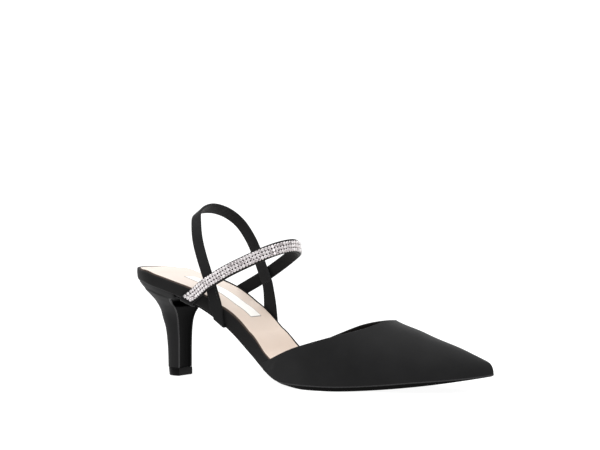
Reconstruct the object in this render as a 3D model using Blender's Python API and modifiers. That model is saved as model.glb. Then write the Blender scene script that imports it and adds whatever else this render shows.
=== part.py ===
# Slingback pump for a right foot: a pointed vamp over a covered board, a slim heel, a sling strap
# behind the ankle and a crystal-trimmed strap round its front. Metres, +X to the toe, +Z up,
# lateral side at -Y. Inside the script x starts at the back of the heel.

import bmesh
import bpy
import numpy as np
from mathutils import Vector

LATERAL = -1
MEDIAL = 1

# Last and sole
LAST_LENGTH = 0.2399
BALL_WIDTH = 0.0700
SEAT_HEIGHT = 0.0656
TREAD_END = 0.1555
TOE_SPRING = 0.0094
TOE_SPRING_POWER = 1.9
OUTSOLE_THICKNESS = 0.0018
SHANK_INSET = 0.0032
WAIST_BLEND = 0.0220
WAIST_LEAD = 0.0020
FEATHER_INSET = 0.0005
BOARD_SEAT_THICKNESS = 0.0063
BOARD_FORE_THICKNESS = 0.0028
BOARD_TOE_EASE = 0.0012
BACK_LIP_HEIGHT = 0.0016
BACK_LIP_WIDTH = 0.0014
BACK_LIP_REACH = 0.0200
SOCK_THICKNESS = 0.0010
SOCK_INSET = 0.0009
SOCK_LENGTH = 0.2150
CLEARANCE = 0.0003

# Upper
UPPER_WALL = 0.0016
THROAT_POSITION = 0.1768
THROAT_HEIGHT = 0.0387
VAMP_REAR = 0.1040
VAMP_ROUNDNESS = 2.2
TOE_SETBACK = 0.0080

# Heel
BREAST_POSITION = 0.0331
HEEL_TIP_LENGTH = 0.0117
HEEL_TIP_WIDTH = 0.0143
HEEL_TOP_POSITION = 0.0385
HEEL_TOP_WIDTH = 0.0492
HEEL_BACK_INSET = 0.0009
HEEL_ROUNDNESS = 2.25
TOP_PIECE_HEIGHT = 0.0050

# Straps
SLING_WIDTH = 0.0064
SLING_THICKNESS = 0.0015
SLING_TOP = 0.1036
TAB_WIDTH = 0.0070
TAB_THICKNESS = 0.0020
ANKLE_WIDTH = 0.0073
ANKLE_THICKNESS = 0.0016
ANKLE_FRONT_HEIGHT = 0.0814
ANKLE_REACH = 0.1105
BAND_WIDTH = 0.0060
BAND_THICKNESS = 0.0008
BAND_CLEARANCE = 0.0005
TUCK = 0.0022
WALL_EASE = 0.0007

# Plan of the last: share of LAST_LENGTH, then lateral and medial share of BALL_WIDTH
OUTLINE = (
    (0.000, 0.000, 0.000),
    (0.023, 0.202, 0.202),
    (0.040, 0.270, 0.270),
    (0.062, 0.317, 0.319),
    (0.085, 0.346, 0.349),
    (0.125, 0.361, 0.364),
    (0.181, 0.361, 0.364),
    (0.223, 0.346, 0.351),
    (0.303, 0.307, 0.311),
    (0.344, 0.288, 0.291),
    (0.383, 0.286, 0.288),
    (0.427, 0.309, 0.308),
    (0.464, 0.354, 0.341),
    (0.544, 0.456, 0.434),
    (0.594, 0.499, 0.486),
    (0.648, 0.494, 0.497),
    (0.725, 0.413, 0.451),
    (0.805, 0.317, 0.377),
    (0.874, 0.219, 0.294),
    (0.920, 0.137, 0.227),
    (0.956, 0.061, 0.161),
    (0.980, 0.011, 0.111),
    (0.994, -0.019, 0.076),
    (1.000, -0.046, 0.046),
)

# Sole line from the side: share of LAST_LENGTH, share of SEAT_HEIGHT. It is flat from the last row on.
SOLE_LINE = (
    (0.000, 0.843),
    (0.023, 0.855),
    (0.040, 0.863),
    (0.062, 0.860),
    (0.106, 0.819),
    (0.142, 0.784),
    (0.223, 0.686),
    (0.303, 0.523),
    (0.383, 0.297),
    (0.429, 0.149),
    (0.461, 0.067),
    (0.486, 0.021),
    (0.511, 0.003),
    (0.531, 0.000),
)

# Board thickness: share of LAST_LENGTH, share of the way from the fore to the seat thickness
BOARD_BODY = (
    (0.000, 1.54),
    (0.023, 1.31),
    (0.040, 1.17),
    (0.062, 1.00),
    (0.440, 1.00),
    (0.491, 0.80),
    (0.552, 0.30),
    (0.633, 0.00),
    (1.000, 0.00),
)

# Ridge of the vamp, carried on up the instep: share of LAST_LENGTH, share of THROAT_HEIGHT
RIDGE = (
    (0.419, 1.810),
    (0.523, 1.600),
    (0.607, 1.410),
    (0.682, 1.190),
    (0.737, 1.000),
    (0.797, 0.876),
    (0.846, 0.765),
    (0.907, 0.646),
    (0.950, 0.550),
    (0.973, 0.486),
)

# Topline: share of the way from VAMP_REAR to THROAT_POSITION, then lateral and medial share of THROAT_HEIGHT
TOPLINE = (
    (0.000, 0.333, 0.395),
    (0.124, 0.416, 0.543),
    (0.327, 0.581, 0.705),
    (0.541, 0.708, 0.842),
    (0.734, 0.814, 0.938),
    (0.858, 0.890, 0.979),
    (0.946, 0.957, 0.997),
    (0.980, 0.986, 0.999),
    (1.000, 1.000, 1.000),
)

# Heel: share of the height, share of the way from tip to top for the back, the breast and the half width
HEEL = (
    (0.000, 0.000, 0.00, 0.000),
    (0.200, 0.020, 0.00, 0.000),
    (0.330, 0.050, 0.00, 0.008),
    (0.457, 0.099, 0.00, 0.030),
    (0.586, 0.213, 0.03, 0.080),
    (0.663, 0.262, 0.09, 0.150),
    (0.770, 0.406, 0.28, 0.370),
    (0.844, 0.554, 0.52, 0.600),
    (0.900, 0.703, 0.74, 0.790),
    (0.960, 0.880, 0.92, 0.945),
    (1.000, 1.000, 1.00, 1.000),
)

# Sling strap from the lateral tab over the back to the medial tab. Shares of LAST_LENGTH, of BALL_WIDTH
# and of SLING_TOP place its centre, and the last two columns lean its width towards +X and +Z.
SLING = (
    (0.2828, -0.337, 0.557, 1.00, 0.15),
    (0.2716, -0.356, 0.644, 1.00, 0.22),
    (0.2604, -0.369, 0.731, 1.00, 0.25),
    (0.2481, -0.361, 0.817, 1.00, 0.30),
    (0.2349, -0.315, 0.904, 0.95, 0.40),
    (0.2217, -0.215, 0.966, 0.70, 0.75),
    (0.2166, 0.000, 1.000, 0.35, 1.00),
    (0.2258, 0.215, 0.966, 0.70, 0.75),
    (0.2441, 0.315, 0.904, 0.95, 0.40),
    (0.2655, 0.361, 0.817, 1.00, 0.35),
    (0.2869, 0.369, 0.731, 1.00, 0.40),
    (0.3062, 0.356, 0.644, 1.00, 0.40),
    (0.3256, 0.337, 0.557, 1.00, 0.35),
)

# Where each tab leaves the board: share of LAST_LENGTH at the board's lower and upper edge
LATERAL_TAB = (0.304, 0.294)
MEDIAL_TAB = (0.350, 0.343)

# Ankle strap from the lateral side round the front to the medial side. Shares of ANKLE_REACH, of
# BALL_WIDTH and of ANKLE_FRONT_HEIGHT place its centre, and the last two columns lean its width.
ANKLE = (
    (0.611, -0.385, 0.725, -0.55, 0.85),
    (0.738, -0.379, 0.816, -0.50, 0.87),
    (0.846, -0.333, 0.888, -0.40, 0.92),
    (0.937, -0.243, 0.953, -0.20, 1.00),
    (0.984, -0.126, 0.988, -0.05, 1.00),
    (1.000, 0.000, 1.000, 0.05, 1.00),
    (0.986, 0.126, 0.987, -0.05, 1.00),
    (0.939, 0.243, 0.957, -0.20, 1.00),
    (0.851, 0.333, 0.900, -0.40, 0.92),
    (0.747, 0.379, 0.821, -0.50, 0.87),
    (0.629, 0.385, 0.726, -0.55, 0.85),
)
LATERAL_ANCHOR = (0.215, 0.241)
MEDIAL_ANCHOR = (0.215, 0.240)

# Fineness of the meshes
OUTLINE_STEPS = 24
SOLE_STATIONS = 54
VAMP_ROWS = 10
REAR_RIBS = 22
FRONT_RIBS = 24
RIB_CROWDING = 1.8
HEEL_SIDES = 36
HEEL_FLARE_START = 0.6
SHAFT_RINGS = 7
FLARE_RINGS = 16
RUN_STEPS = 5
WRAP_STEPS = 6
WALL_STEPS = 5
TUCK_STEPS = 2
RIBBON_CHAMFER = 0.3
EDGE_CHAMFER = 0.0004
SLOPE_REACH = 0.0005
WELD_DISTANCE = 2e-6
SHARP_ANGLE = 0.7

# Colour and roughness of each material
MICROFIBRE = ((0.018, 0.018, 0.019), 0.75)
COVER = ((0.016, 0.016, 0.017), 0.6)
LINING = ((0.80, 0.68, 0.57), 0.55)
SOLE_RUBBER = ((0.012, 0.012, 0.013), 0.35)
LIFT_RUBBER = ((0.010, 0.010, 0.011), 0.4)
ELASTIC = ((0.014, 0.014, 0.015), 0.8)
CRYSTAL = ((0.55, 0.52, 0.52), 0.3)


# Monotone cubic curve through a table's points, straight on past its ends
def smooth_through(xs, ys, at):
    xs, ys, at = np.asarray(xs, float), np.asarray(ys, float), np.asarray(at, float)
    step = np.diff(xs)
    rise = np.diff(ys) / step
    slope = np.empty_like(ys)
    slope[0], slope[-1] = rise[0], rise[-1]
    same_way = rise[:-1] * rise[1:] > 0
    weight_a, weight_b = 2 * step[1:] + step[:-1], step[1:] + 2 * step[:-1]
    safe_a = np.where(same_way, rise[:-1], 1)
    safe_b = np.where(same_way, rise[1:], 1)
    mean = (weight_a + weight_b) / (weight_a / safe_a + weight_b / safe_b)
    slope[1:-1] = np.where(same_way, mean, 0)
    i = np.clip(np.searchsorted(xs, at) - 1, 0, len(step) - 1)
    t = (at - xs[i]) / step[i]
    inside = np.clip(t, 0, 1)
    t2, t3 = inside**2, inside**3
    value = (
        (2 * t3 - 3 * t2 + 1) * ys[i]
        + (t3 - 2 * t2 + inside) * step[i] * slope[i]
        + (3 * t2 - 2 * t3) * ys[i + 1]
        + (t3 - t2) * step[i] * slope[i + 1]
    )
    end_slope = np.where(t > 1, slope[-1], slope[0])
    return value + (t - inside) * step[i] * end_slope


# Catmull-Rom curve through points, with its parameter spread by chord length
def curve_through(points, count, closed=False):
    points = np.asarray(points, float)
    if closed:
        padded = np.vstack([points[-1:], points, points[:2]])
    else:
        padded = np.vstack([2 * points[0] - points[1], points, 2 * points[-1] - points[-2]])
    found = []
    for a, b, c, d in zip(padded, padded[1:], padded[2:], padded[3:]):
        ab, bc, cd = (max(np.linalg.norm(q - p), 1e-9) ** 0.5 for p, q in ((a, b), (b, c), (c, d)))
        start = bc * ((b - a) / ab - (c - a) / (ab + bc) + (c - b) / bc)
        end = bc * ((c - b) / bc - (d - b) / (bc + cd) + (d - c) / cd)
        for t in np.arange(count) / count:
            found.append(
                (2 * t**3 - 3 * t**2 + 1) * b
                + (t**3 - 2 * t**2 + t) * start
                + (3 * t**2 - 2 * t**3) * c
                + (t**3 - t**2) * end
            )
    if not closed:
        found.append(points[-1])
    return np.array(found)


def smooth_step(x, start, end):
    t = np.clip((x - start) / (end - start), 0, 1)
    return t * t * (3 - 2 * t)


# Both sides of the last's plan, each a run of points from the heel back to the toe tip
def plan_sides():
    rows = np.array(OUTLINE)
    x = rows[:, 0] * LAST_LENGTH
    lateral = np.stack([x, -rows[:, 1] * BALL_WIDTH], 1)
    medial = np.stack([x, rows[:, 2] * BALL_WIDTH], 1)
    loop = curve_through(np.vstack([lateral, medial[-2:0:-1]]), OUTLINE_STEPS, closed=True)
    tip = (len(rows) - 1) * OUTLINE_STEPS
    return {LATERAL: loop[: tip + 1], MEDIAL: np.vstack([loop[:1], loop[:tip - 1:-1]])}


PLAN = plan_sides()


def half_width(side, x):
    line = PLAN[side]
    return side * np.interp(x, line[:, 0], line[:, 1])


# Outward normals of one side of the plan
def plan_normals(side):
    line = PLAN[side]
    along = np.gradient(line, axis=0)
    normals = np.stack([-along[:, 1], along[:, 0]], 1) * side
    normals[0], normals[-1] = (-1, 0), (1, 0)
    return normals / np.linalg.norm(normals, axis=1)[:, None]


# One side of the plan, moved outward by an amount that may change along x
def offset_side(side, outward):
    line = PLAN[side]
    return line + plan_normals(side) * np.broadcast_to(outward, len(line))[:, None]


# Heights along the shoe

def sole_line(x):
    rows = np.array(SOLE_LINE)
    shank = smooth_through(rows[:, 0] * LAST_LENGTH, rows[:, 1] * SEAT_HEIGHT, x)
    raised = np.clip((x - TREAD_END) / (LAST_LENGTH - TREAD_END), 0, None)
    flat_from = rows[-1, 0] * LAST_LENGTH
    return np.where(x < flat_from, shank, 0) + TOE_SPRING * raised**TOE_SPRING_POWER


# How much longer a thickness square to the sole measures straight up
def lean(x):
    slope = (sole_line(x + SLOPE_REACH) - sole_line(x - SLOPE_REACH)) / (2 * SLOPE_REACH)
    return np.sqrt(1 + slope**2)


def outsole_top(x):
    return sole_line(x) + OUTSOLE_THICKNESS * lean(x)


def board_bottom(x):
    return outsole_top(x) + CLEARANCE * lean(x)


def board_top(x):
    rows = np.array(BOARD_BODY)
    share = smooth_through(rows[:, 0] * LAST_LENGTH, rows[:, 1], np.clip(x, 0, LAST_LENGTH))
    thickness = BOARD_FORE_THICKNESS + share * (BOARD_SEAT_THICKNESS - BOARD_FORE_THICKNESS)
    return board_bottom(x) + thickness * lean(x)


# Mesh helpers

def new_object(name, verts, faces, finish):
    mesh = bpy.data.meshes.new(name)
    mesh.from_pydata([tuple(v) for v in verts], [], faces)
    work = bmesh.new()
    work.from_mesh(mesh)
    bmesh.ops.remove_doubles(work, verts=work.verts, dist=WELD_DISTANCE)
    bmesh.ops.recalc_face_normals(work, faces=work.faces)
    if work.calc_volume(signed=True) < 0:
        bmesh.ops.reverse_faces(work, faces=work.faces)
    work.to_mesh(mesh)
    work.free()
    mesh.shade_smooth()
    mesh.set_sharp_from_angle(angle=SHARP_ANGLE)
    obj = bpy.data.objects.new(name, mesh)
    colour, roughness = finish
    material = bpy.data.materials.new(name)
    material.use_nodes = True
    shader = material.node_tree.nodes["Principled BSDF"]
    shader.inputs["Base Color"].default_value = (*colour, 1)
    shader.inputs["Roughness"].default_value = roughness
    mesh.materials.append(material)
    return obj


# Rings of equal length joined into a tube, with the first and last ring filled across between
# the points that face each other on the two sides
def ring_solid(name, rings, finish):
    count = len(rings[0])
    verts = np.vstack(rings)
    faces = []
    for ring in range(len(rings) - 1):
        for i in range(count):
            j = (i + 1) % count
            low, high = ring * count, (ring + 1) * count
            faces.append((low + i, low + j, high + j, high + i))
    half = count // 2
    for base in (0, (len(rings) - 1) * count):
        for i in range(half - 1):
            near, far = base + i, base + count - 1 - i
            faces.append((near, near + 1, far - 1, far))
    return new_object(name, verts, faces, finish)


# Points of both sides at the same values of x, spread evenly along the mean of their lengths
def paired_stations(lines, start, end, count):
    xs = []
    for line in lines:
        length = np.concatenate([[0], np.cumsum(np.linalg.norm(np.diff(line, axis=0), axis=1))])
        first, last = np.interp([start, end], line[:, 0], length)
        xs.append(np.interp(np.linspace(first, last, count), length, line[:, 0]))
    x = (xs[0] + xs[1]) / 2
    return [np.stack([x, np.interp(x, line[:, 0], line[:, 1])], 1) for line in lines]


# One closed ring in plan: lateral side from the back to the front, then the medial side back. It is
# cut off at start and end where those lie within the plan.
def plan_ring(outward, height, start=0.0, end=np.inf):
    lines = [offset_side(side, outward(PLAN[side][:, 0])) for side in (LATERAL, MEDIAL)]
    start, end = max(start, lines[0][0, 0]), min(end, lines[0][-1, 0])
    lateral, medial = paired_stations(lines, start, end, SOLE_STATIONS)
    plan = np.vstack([lateral, medial[::-1]])
    return np.column_stack([plan, height(plan[:, 0])])


# Sole pieces

# The sole stands in under the shank and out under the vamp's wall
def outsole_outward(x):
    forefoot = smooth_step(x, VAMP_REAR - WAIST_LEAD, VAMP_REAR - WAIST_LEAD + WAIST_BLEND)
    return forefoot * (UPPER_WALL - FEATHER_INSET + SHANK_INSET) - SHANK_INSET


def make_outsole():
    start = HEEL_TOP_POSITION + 2 * CLEARANCE
    edge = EDGE_CHAMFER
    rings = [
        plan_ring(lambda x: outsole_outward(x) - edge, sole_line, start),
        plan_ring(outsole_outward, lambda x: sole_line(x) + edge, start),
        plan_ring(outsole_outward, outsole_top, start),
    ]
    return ring_solid("outsole", rings, SOLE_RUBBER)


def board_outward(x):
    toe = smooth_step(x, THROAT_POSITION, LAST_LENGTH)
    return -CLEARANCE - BOARD_TOE_EASE * toe


def back_lip(x):
    return BACK_LIP_HEIGHT * (1 - smooth_step(x, 0, BACK_LIP_REACH))


def make_board():
    edge = EDGE_CHAMFER

    def lip_top(x):
        return board_top(x) + back_lip(x)

    rings = [
        plan_ring(lambda x: board_outward(x) - edge, board_bottom),
        plan_ring(board_outward, lambda x: board_bottom(x) + edge),
        plan_ring(board_outward, lambda x: lip_top(x) - edge),
        plan_ring(lambda x: board_outward(x) - edge, lip_top),
        plan_ring(lambda x: board_outward(x) - BACK_LIP_WIDTH, lip_top),
        plan_ring(lambda x: board_outward(x) - BACK_LIP_WIDTH - CLEARANCE, board_top),
    ]
    return ring_solid("insole_board", rings, COVER)


def sock_outward(x):
    behind_lip = BACK_LIP_WIDTH + 2 * CLEARANCE
    past_lip = smooth_step(x, BACK_LIP_REACH, 2 * BACK_LIP_REACH)
    inset = behind_lip + (SOCK_INSET - behind_lip) * past_lip
    return board_outward(x) - inset


def make_sock():
    edge = EDGE_CHAMFER

    def bottom(x):
        return board_top(x) + CLEARANCE * lean(x)

    def top(x):
        return bottom(x) + SOCK_THICKNESS * lean(x)

    rings = [
        plan_ring(sock_outward, bottom, end=SOCK_LENGTH),
        plan_ring(sock_outward, lambda x: top(x) - edge, end=SOCK_LENGTH),
        plan_ring(lambda x: sock_outward(x) - edge, top, end=SOCK_LENGTH),
    ]
    return ring_solid("sock", rings, LINING)


# Upper

def ridge_height(x):
    rows = np.array(RIDGE)
    return smooth_through(rows[:, 0] * LAST_LENGTH, rows[:, 1] * THROAT_HEIGHT, x)


# The ridge drifts from the middle of the plan towards the toe tip
def ridge_side(x):
    inside = np.clip(x, 0, LAST_LENGTH)
    return (half_width(MEDIAL, inside) - half_width(LATERAL, inside)) / 2


def topline_height(side, x):
    rows = np.array(TOPLINE)
    at = VAMP_REAR + rows[:, 0] * (THROAT_POSITION - VAMP_REAR)
    column = rows[:, 1] if side == LATERAL else rows[:, 2]
    return smooth_through(at, column * THROAT_HEIGHT, x)


# Where the ribs of the vamp stand on its feather edge, on both sides. Behind the throat they come
# closer together towards it, for a round opening.
def vamp_stations():
    lines = [offset_side(side, UPPER_WALL) for side in (LATERAL, MEDIAL)]
    span = THROAT_POSITION - VAMP_REAR
    behind = THROAT_POSITION - span * np.linspace(1, 0, REAR_RIBS) ** RIB_CROWDING
    front = paired_stations(lines, THROAT_POSITION, lines[0][-1, 0], FRONT_RIBS)
    feet = {}
    for side, line, ahead in zip((LATERAL, MEDIAL), lines, front):
        rear = np.stack([behind, np.interp(behind, line[:, 0], line[:, 1])], 1)
        feet[side] = np.vstack([rear, ahead[1:]])
    return feet


# One rib of the vamp, from the feather edge up to the topline or the ridge
def vamp_rib(side, foot):
    x, y = foot
    low = outsole_top(x) + CLEARANCE * lean(x)
    ahead = np.clip((x - THROAT_POSITION) / (LAST_LENGTH + UPPER_WALL - THROAT_POSITION), 0, 1)
    top_x = x - TOE_SETBACK * ahead**3
    top = np.array([top_x, ridge_side(top_x), ridge_height(top_x)])
    power = 2 / VAMP_ROUNDNESS
    share = 1.0
    if x < THROAT_POSITION:
        share = np.clip((topline_height(side, x) - low) / (top[2] - low), 0, 1)
    reach = np.arcsin(share ** (1 / power))
    angle = np.linspace(0, reach, VAMP_ROWS + 1)
    across = np.abs(np.cos(angle)) ** power
    if share == 1.0:
        across[-1] = 0
    rise = np.sin(angle) ** power
    return np.stack(
        [
            top[0] + (x - top[0]) * across,
            top[1] + (y - top[1]) * across,
            low + (top[2] - low) * rise,
        ],
        1,
    )


def make_upper():
    verts, faces = [], []
    for side, feet in vamp_stations().items():
        base = len(verts)
        ribs = [vamp_rib(side, foot) for foot in feet]
        verts.extend(point for rib in ribs for point in rib)
        row = VAMP_ROWS + 1
        for i in range(len(ribs) - 1):
            for j in range(VAMP_ROWS):
                a = base + i * row + j
                quad = (a, a + row, a + row + 1, a + 1)
                faces.append(quad if side == LATERAL else quad[::-1])
    obj = new_object("upper", verts, faces, MICROFIBRE)
    wall = obj.modifiers.new("wall", "SOLIDIFY")
    wall.thickness = UPPER_WALL
    wall.offset = -1
    wall.use_even_offset = True
    return obj


# Heel

# One D-shaped section of the heel: the share of its height and the points of its outline
def heel_ring(share, back, breast, half):
    angle = np.linspace(0, np.pi, HEEL_SIDES)
    power = 2 / HEEL_ROUNDNESS
    x = breast - (breast - back) * np.abs(np.sin(angle)) ** power
    y = -half * np.sign(np.cos(angle)) * np.abs(np.cos(angle)) ** power
    low = TOP_PIECE_HEIGHT + CLEARANCE
    high = board_bottom(x) - CLEARANCE * lean(x)
    return np.stack([x, y, low + share * (high - low)], 1)


def make_heel():
    rows = np.array(HEEL)
    shaft = np.linspace(0, HEEL_FLARE_START, SHAFT_RINGS, endpoint=False)
    flare = np.linspace(HEEL_FLARE_START, 1, FLARE_RINGS)
    share = np.concatenate([shaft, flare])
    back_way, breast_way, width_way = (smooth_through(rows[:, 0], rows[:, k], share) for k in (1, 2, 3))
    tip_back = BREAST_POSITION - HEEL_TIP_LENGTH
    rings = []
    for at, back, breast, width in zip(share, back_way, breast_way, width_way):
        rings.append(
            heel_ring(
                at,
                tip_back + back * (HEEL_BACK_INSET - tip_back),
                BREAST_POSITION + breast * (HEEL_TOP_POSITION - BREAST_POSITION),
                (HEEL_TIP_WIDTH + width * (HEEL_TOP_WIDTH - HEEL_TIP_WIDTH)) / 2,
            )
        )
    return ring_solid("heel", rings, COVER)


def make_top_piece():
    edge = EDGE_CHAMFER
    back = BREAST_POSITION - HEEL_TIP_LENGTH
    half = HEEL_TIP_WIDTH / 2
    rings = []
    for inset, z in ((edge, 0), (0, edge), (0, TOP_PIECE_HEIGHT)):
        ring = heel_ring(0, back + inset, BREAST_POSITION - inset, half - inset)
        ring[:, 2] = z
        rings.append(ring)
    return ring_solid("top_piece", rings, LIFT_RUBBER)


# Straps

# A flat band along centre points, with its width vector given at each
def ribbon(name, centres, widths, thickness, finish, outward=0.0):
    along = np.gradient(centres, axis=0)
    normals = np.cross(along, widths)
    normals /= np.linalg.norm(normals, axis=1)[:, None]
    chamfer = RIBBON_CHAMFER * thickness
    deep = thickness / 2
    rings = []
    for centre, width, normal in zip(centres, widths, normals):
        half = np.linalg.norm(width) / 2
        across = width / (2 * half)
        corners = (
            (-half, chamfer - deep),
            (chamfer - half, -deep),
            (half - chamfer, -deep),
            (half, chamfer - deep),
            (half, deep - chamfer),
            (half - chamfer, deep),
            (chamfer - half, deep),
            (-half, deep - chamfer),
        )
        rings.append([centre + across * u + normal * (outward + v) for u, v in corners])
    return ring_solid(name, rings, finish)


# A strap's end on the board: tucked under its lower edge, round the edge and up its side wall.
# It gives centre points and width vectors, from the tucked end to the upper edge.
def anchor(side, low_share, high_share, width, thickness):
    low_x, high_x = low_share * LAST_LENGTH, high_share * LAST_LENGTH
    clear = WALL_EASE + thickness / 2
    low, high = board_bottom(low_x), board_top(high_x)
    ahead, behind = low_x + SLOPE_REACH, low_x - SLOPE_REACH
    edge = np.array([ahead - behind, 0, board_bottom(ahead) - board_bottom(behind)])
    edge /= np.linalg.norm(edge)
    path = np.array([high_x - low_x, 0, high - low])
    path /= np.linalg.norm(path)
    sheared = width / np.linalg.norm(np.cross(path, edge))
    below = np.array([edge[2], 0, -edge[0]])
    wall_low = half_width(side, low_x)
    centres, widths = [], []
    for inward in np.linspace(TUCK, 0, TUCK_STEPS, endpoint=False):
        centres.append(np.array([low_x, side * (wall_low - inward), low]) + below * clear)
        widths.append(edge * sheared)
    for angle in np.linspace(0, np.pi / 2, WRAP_STEPS):
        offset = below * clear * np.cos(angle) + np.array([0, side * clear * np.sin(angle), 0])
        centres.append(np.array([low_x, side * wall_low, low]) + offset)
        widths.append(edge * sheared)
    square = np.cross(np.array([0, 1, 0]), path)
    square *= np.sign(edge @ square)
    first = 1 / WALL_STEPS
    for share in np.linspace(first, 1, WALL_STEPS):
        x = low_x + share * (high_x - low_x)
        centres.append(np.array([x, side * (half_width(side, x) + clear), low + share * (high - low)]))
        turned = smooth_step(share, first, 1.0)
        widths.append(edge * sheared * (1 - turned) + square * width * turned)
    return np.array(centres), np.array(widths)


# Centre points and width vectors of the free run of a strap, through a table's rows
def free_run(rows, sizes, width):
    rows = np.array(rows)
    centres = curve_through(rows[:, :3] * np.array(sizes), RUN_STEPS)
    at = np.linspace(0, len(rows) - 1, len(centres))
    leans = np.stack([np.interp(at, np.arange(len(rows)), rows[:, k]) for k in (3, 4)], 1)
    along = np.gradient(centres, axis=0)
    along /= np.linalg.norm(along, axis=1)[:, None]
    widths = np.column_stack([leans[:, 0], np.zeros(len(leans)), leans[:, 1]])
    widths -= np.sum(widths * along, axis=1)[:, None] * along
    widths *= (width / np.linalg.norm(widths, axis=1))[:, None]
    return centres, widths


def make_sling():
    sizes = (LAST_LENGTH, BALL_WIDTH, SLING_TOP)
    centres, widths = free_run(SLING, sizes, SLING_WIDTH)
    return ribbon("sling_strap", centres, widths, SLING_THICKNESS, ELASTIC)


# A tab runs from under the board up to the end of the sling strap
def make_tab(name, side, edges, row, next_row):
    centres, widths = anchor(side, *edges, TAB_WIDTH, TAB_THICKNESS)
    sizes = np.array([LAST_LENGTH, BALL_WIDTH, SLING_TOP])
    end = np.array(row[:3]) * sizes
    beyond = np.array(next_row[:3]) * sizes
    away = (beyond - end) / np.linalg.norm(beyond - end)
    top = end - away * CLEARANCE
    rise = curve_through([centres[-2], centres[-1], top, beyond], RUN_STEPS)[RUN_STEPS : 2 * RUN_STEPS + 1]
    lean_vector = np.array([row[3], 0, row[4]])
    lean_vector -= (lean_vector @ away) * away
    lean_vector *= TAB_WIDTH / np.linalg.norm(lean_vector)
    lean_vector *= np.sign(lean_vector @ widths[-1])
    turned = np.linspace(0, 1, len(rise))[1:, None]
    centres = np.vstack([centres, rise[1:]])
    widths = np.vstack([widths, widths[-1] * (1 - turned) + lean_vector * turned])
    return ribbon(name, centres, widths, TAB_THICKNESS, MICROFIBRE)


def ankle_path(width):
    sizes = (ANKLE_REACH, BALL_WIDTH, ANKLE_FRONT_HEIGHT)
    start, start_widths = anchor(LATERAL, *LATERAL_ANCHOR, width, ANKLE_THICKNESS)
    end, end_widths = anchor(MEDIAL, *MEDIAL_ANCHOR, width, ANKLE_THICKNESS)
    middle, middle_widths = free_run(ANKLE, sizes, width)
    start_widths = start_widths * np.sign(start_widths[-1] @ middle_widths[0])
    end_widths = end_widths * np.sign(end_widths[-1] @ middle_widths[-1])
    centres = np.vstack([start, middle, end[::-1]])
    widths = np.vstack([start_widths, middle_widths, end_widths[::-1]])
    return centres, widths


def make_ankle_strap():
    centres, widths = ankle_path(ANKLE_WIDTH)
    return ribbon("ankle_strap", centres, widths, ANKLE_THICKNESS, ELASTIC)


# The band lies on the strap's outer face and ends where the strap turns under the board
def make_crystal_band():
    centres, widths = ankle_path(BAND_WIDTH)
    under = TUCK_STEPS + WRAP_STEPS - 1
    centres, widths = centres[under:-under], widths[under:-under]
    outward = ANKLE_THICKNESS / 2 + BAND_CLEARANCE + BAND_THICKNESS / 2
    return ribbon("crystal_band", centres, widths, BAND_THICKNESS, CRYSTAL, outward)


def main():
    for old in list(bpy.data.objects):
        bpy.data.objects.remove(old)
    collection = bpy.data.collections.new("slingback_pump")
    bpy.context.scene.collection.children.link(collection)
    origin = bpy.data.objects.new("shoe_origin", None)
    collection.objects.link(origin)
    pieces = [
        make_upper(),
        make_board(),
        make_sock(),
        make_outsole(),
        make_heel(),
        make_top_piece(),
        make_sling(),
        make_tab("sling_tab_lateral", LATERAL, LATERAL_TAB, SLING[0], SLING[1]),
        make_tab("sling_tab_medial", MEDIAL, MEDIAL_TAB, SLING[-1], SLING[-2]),
        make_ankle_strap(),
        make_crystal_band(),
    ]
    corners = np.array([v.co for piece in pieces for v in piece.data.vertices])
    middle = (corners.min(axis=0) + corners.max(axis=0)) / 2
    for piece in pieces:
        collection.objects.link(piece)
        piece.parent = origin
    origin.location = Vector((-middle[0], -middle[1], -corners[:, 2].min()))


main()
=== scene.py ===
# Slingback pump for a right foot: its finishes and fine shapes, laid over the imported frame.
# Metres, +X to the toe, +Z up, outer side at -Y. Shapes are worked out in shoe places, where x starts
# at the back of the heel, and move to the frame's places when they become meshes.

import math

import bmesh
import bpy
import numpy as np
from mathutils import Matrix, Vector, kdtree


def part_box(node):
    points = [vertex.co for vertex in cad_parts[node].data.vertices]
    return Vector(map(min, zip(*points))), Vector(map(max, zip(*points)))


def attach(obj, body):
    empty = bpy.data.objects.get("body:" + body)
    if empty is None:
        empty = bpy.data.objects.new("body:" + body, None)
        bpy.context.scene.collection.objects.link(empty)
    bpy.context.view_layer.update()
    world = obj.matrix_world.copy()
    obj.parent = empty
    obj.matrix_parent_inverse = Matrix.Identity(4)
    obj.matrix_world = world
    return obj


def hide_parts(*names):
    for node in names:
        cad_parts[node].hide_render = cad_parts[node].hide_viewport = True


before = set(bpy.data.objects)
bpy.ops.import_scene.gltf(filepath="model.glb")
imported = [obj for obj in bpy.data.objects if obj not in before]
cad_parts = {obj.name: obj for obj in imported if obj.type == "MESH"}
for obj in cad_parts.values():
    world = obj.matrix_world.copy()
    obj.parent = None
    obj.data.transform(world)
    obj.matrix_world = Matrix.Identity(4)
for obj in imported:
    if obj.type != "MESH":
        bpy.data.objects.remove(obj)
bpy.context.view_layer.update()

lateral = -1
medial = 1
weldDistance = 2e-6
smallestLength = 1e-12
sharpAngle = math.radians(50)

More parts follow.
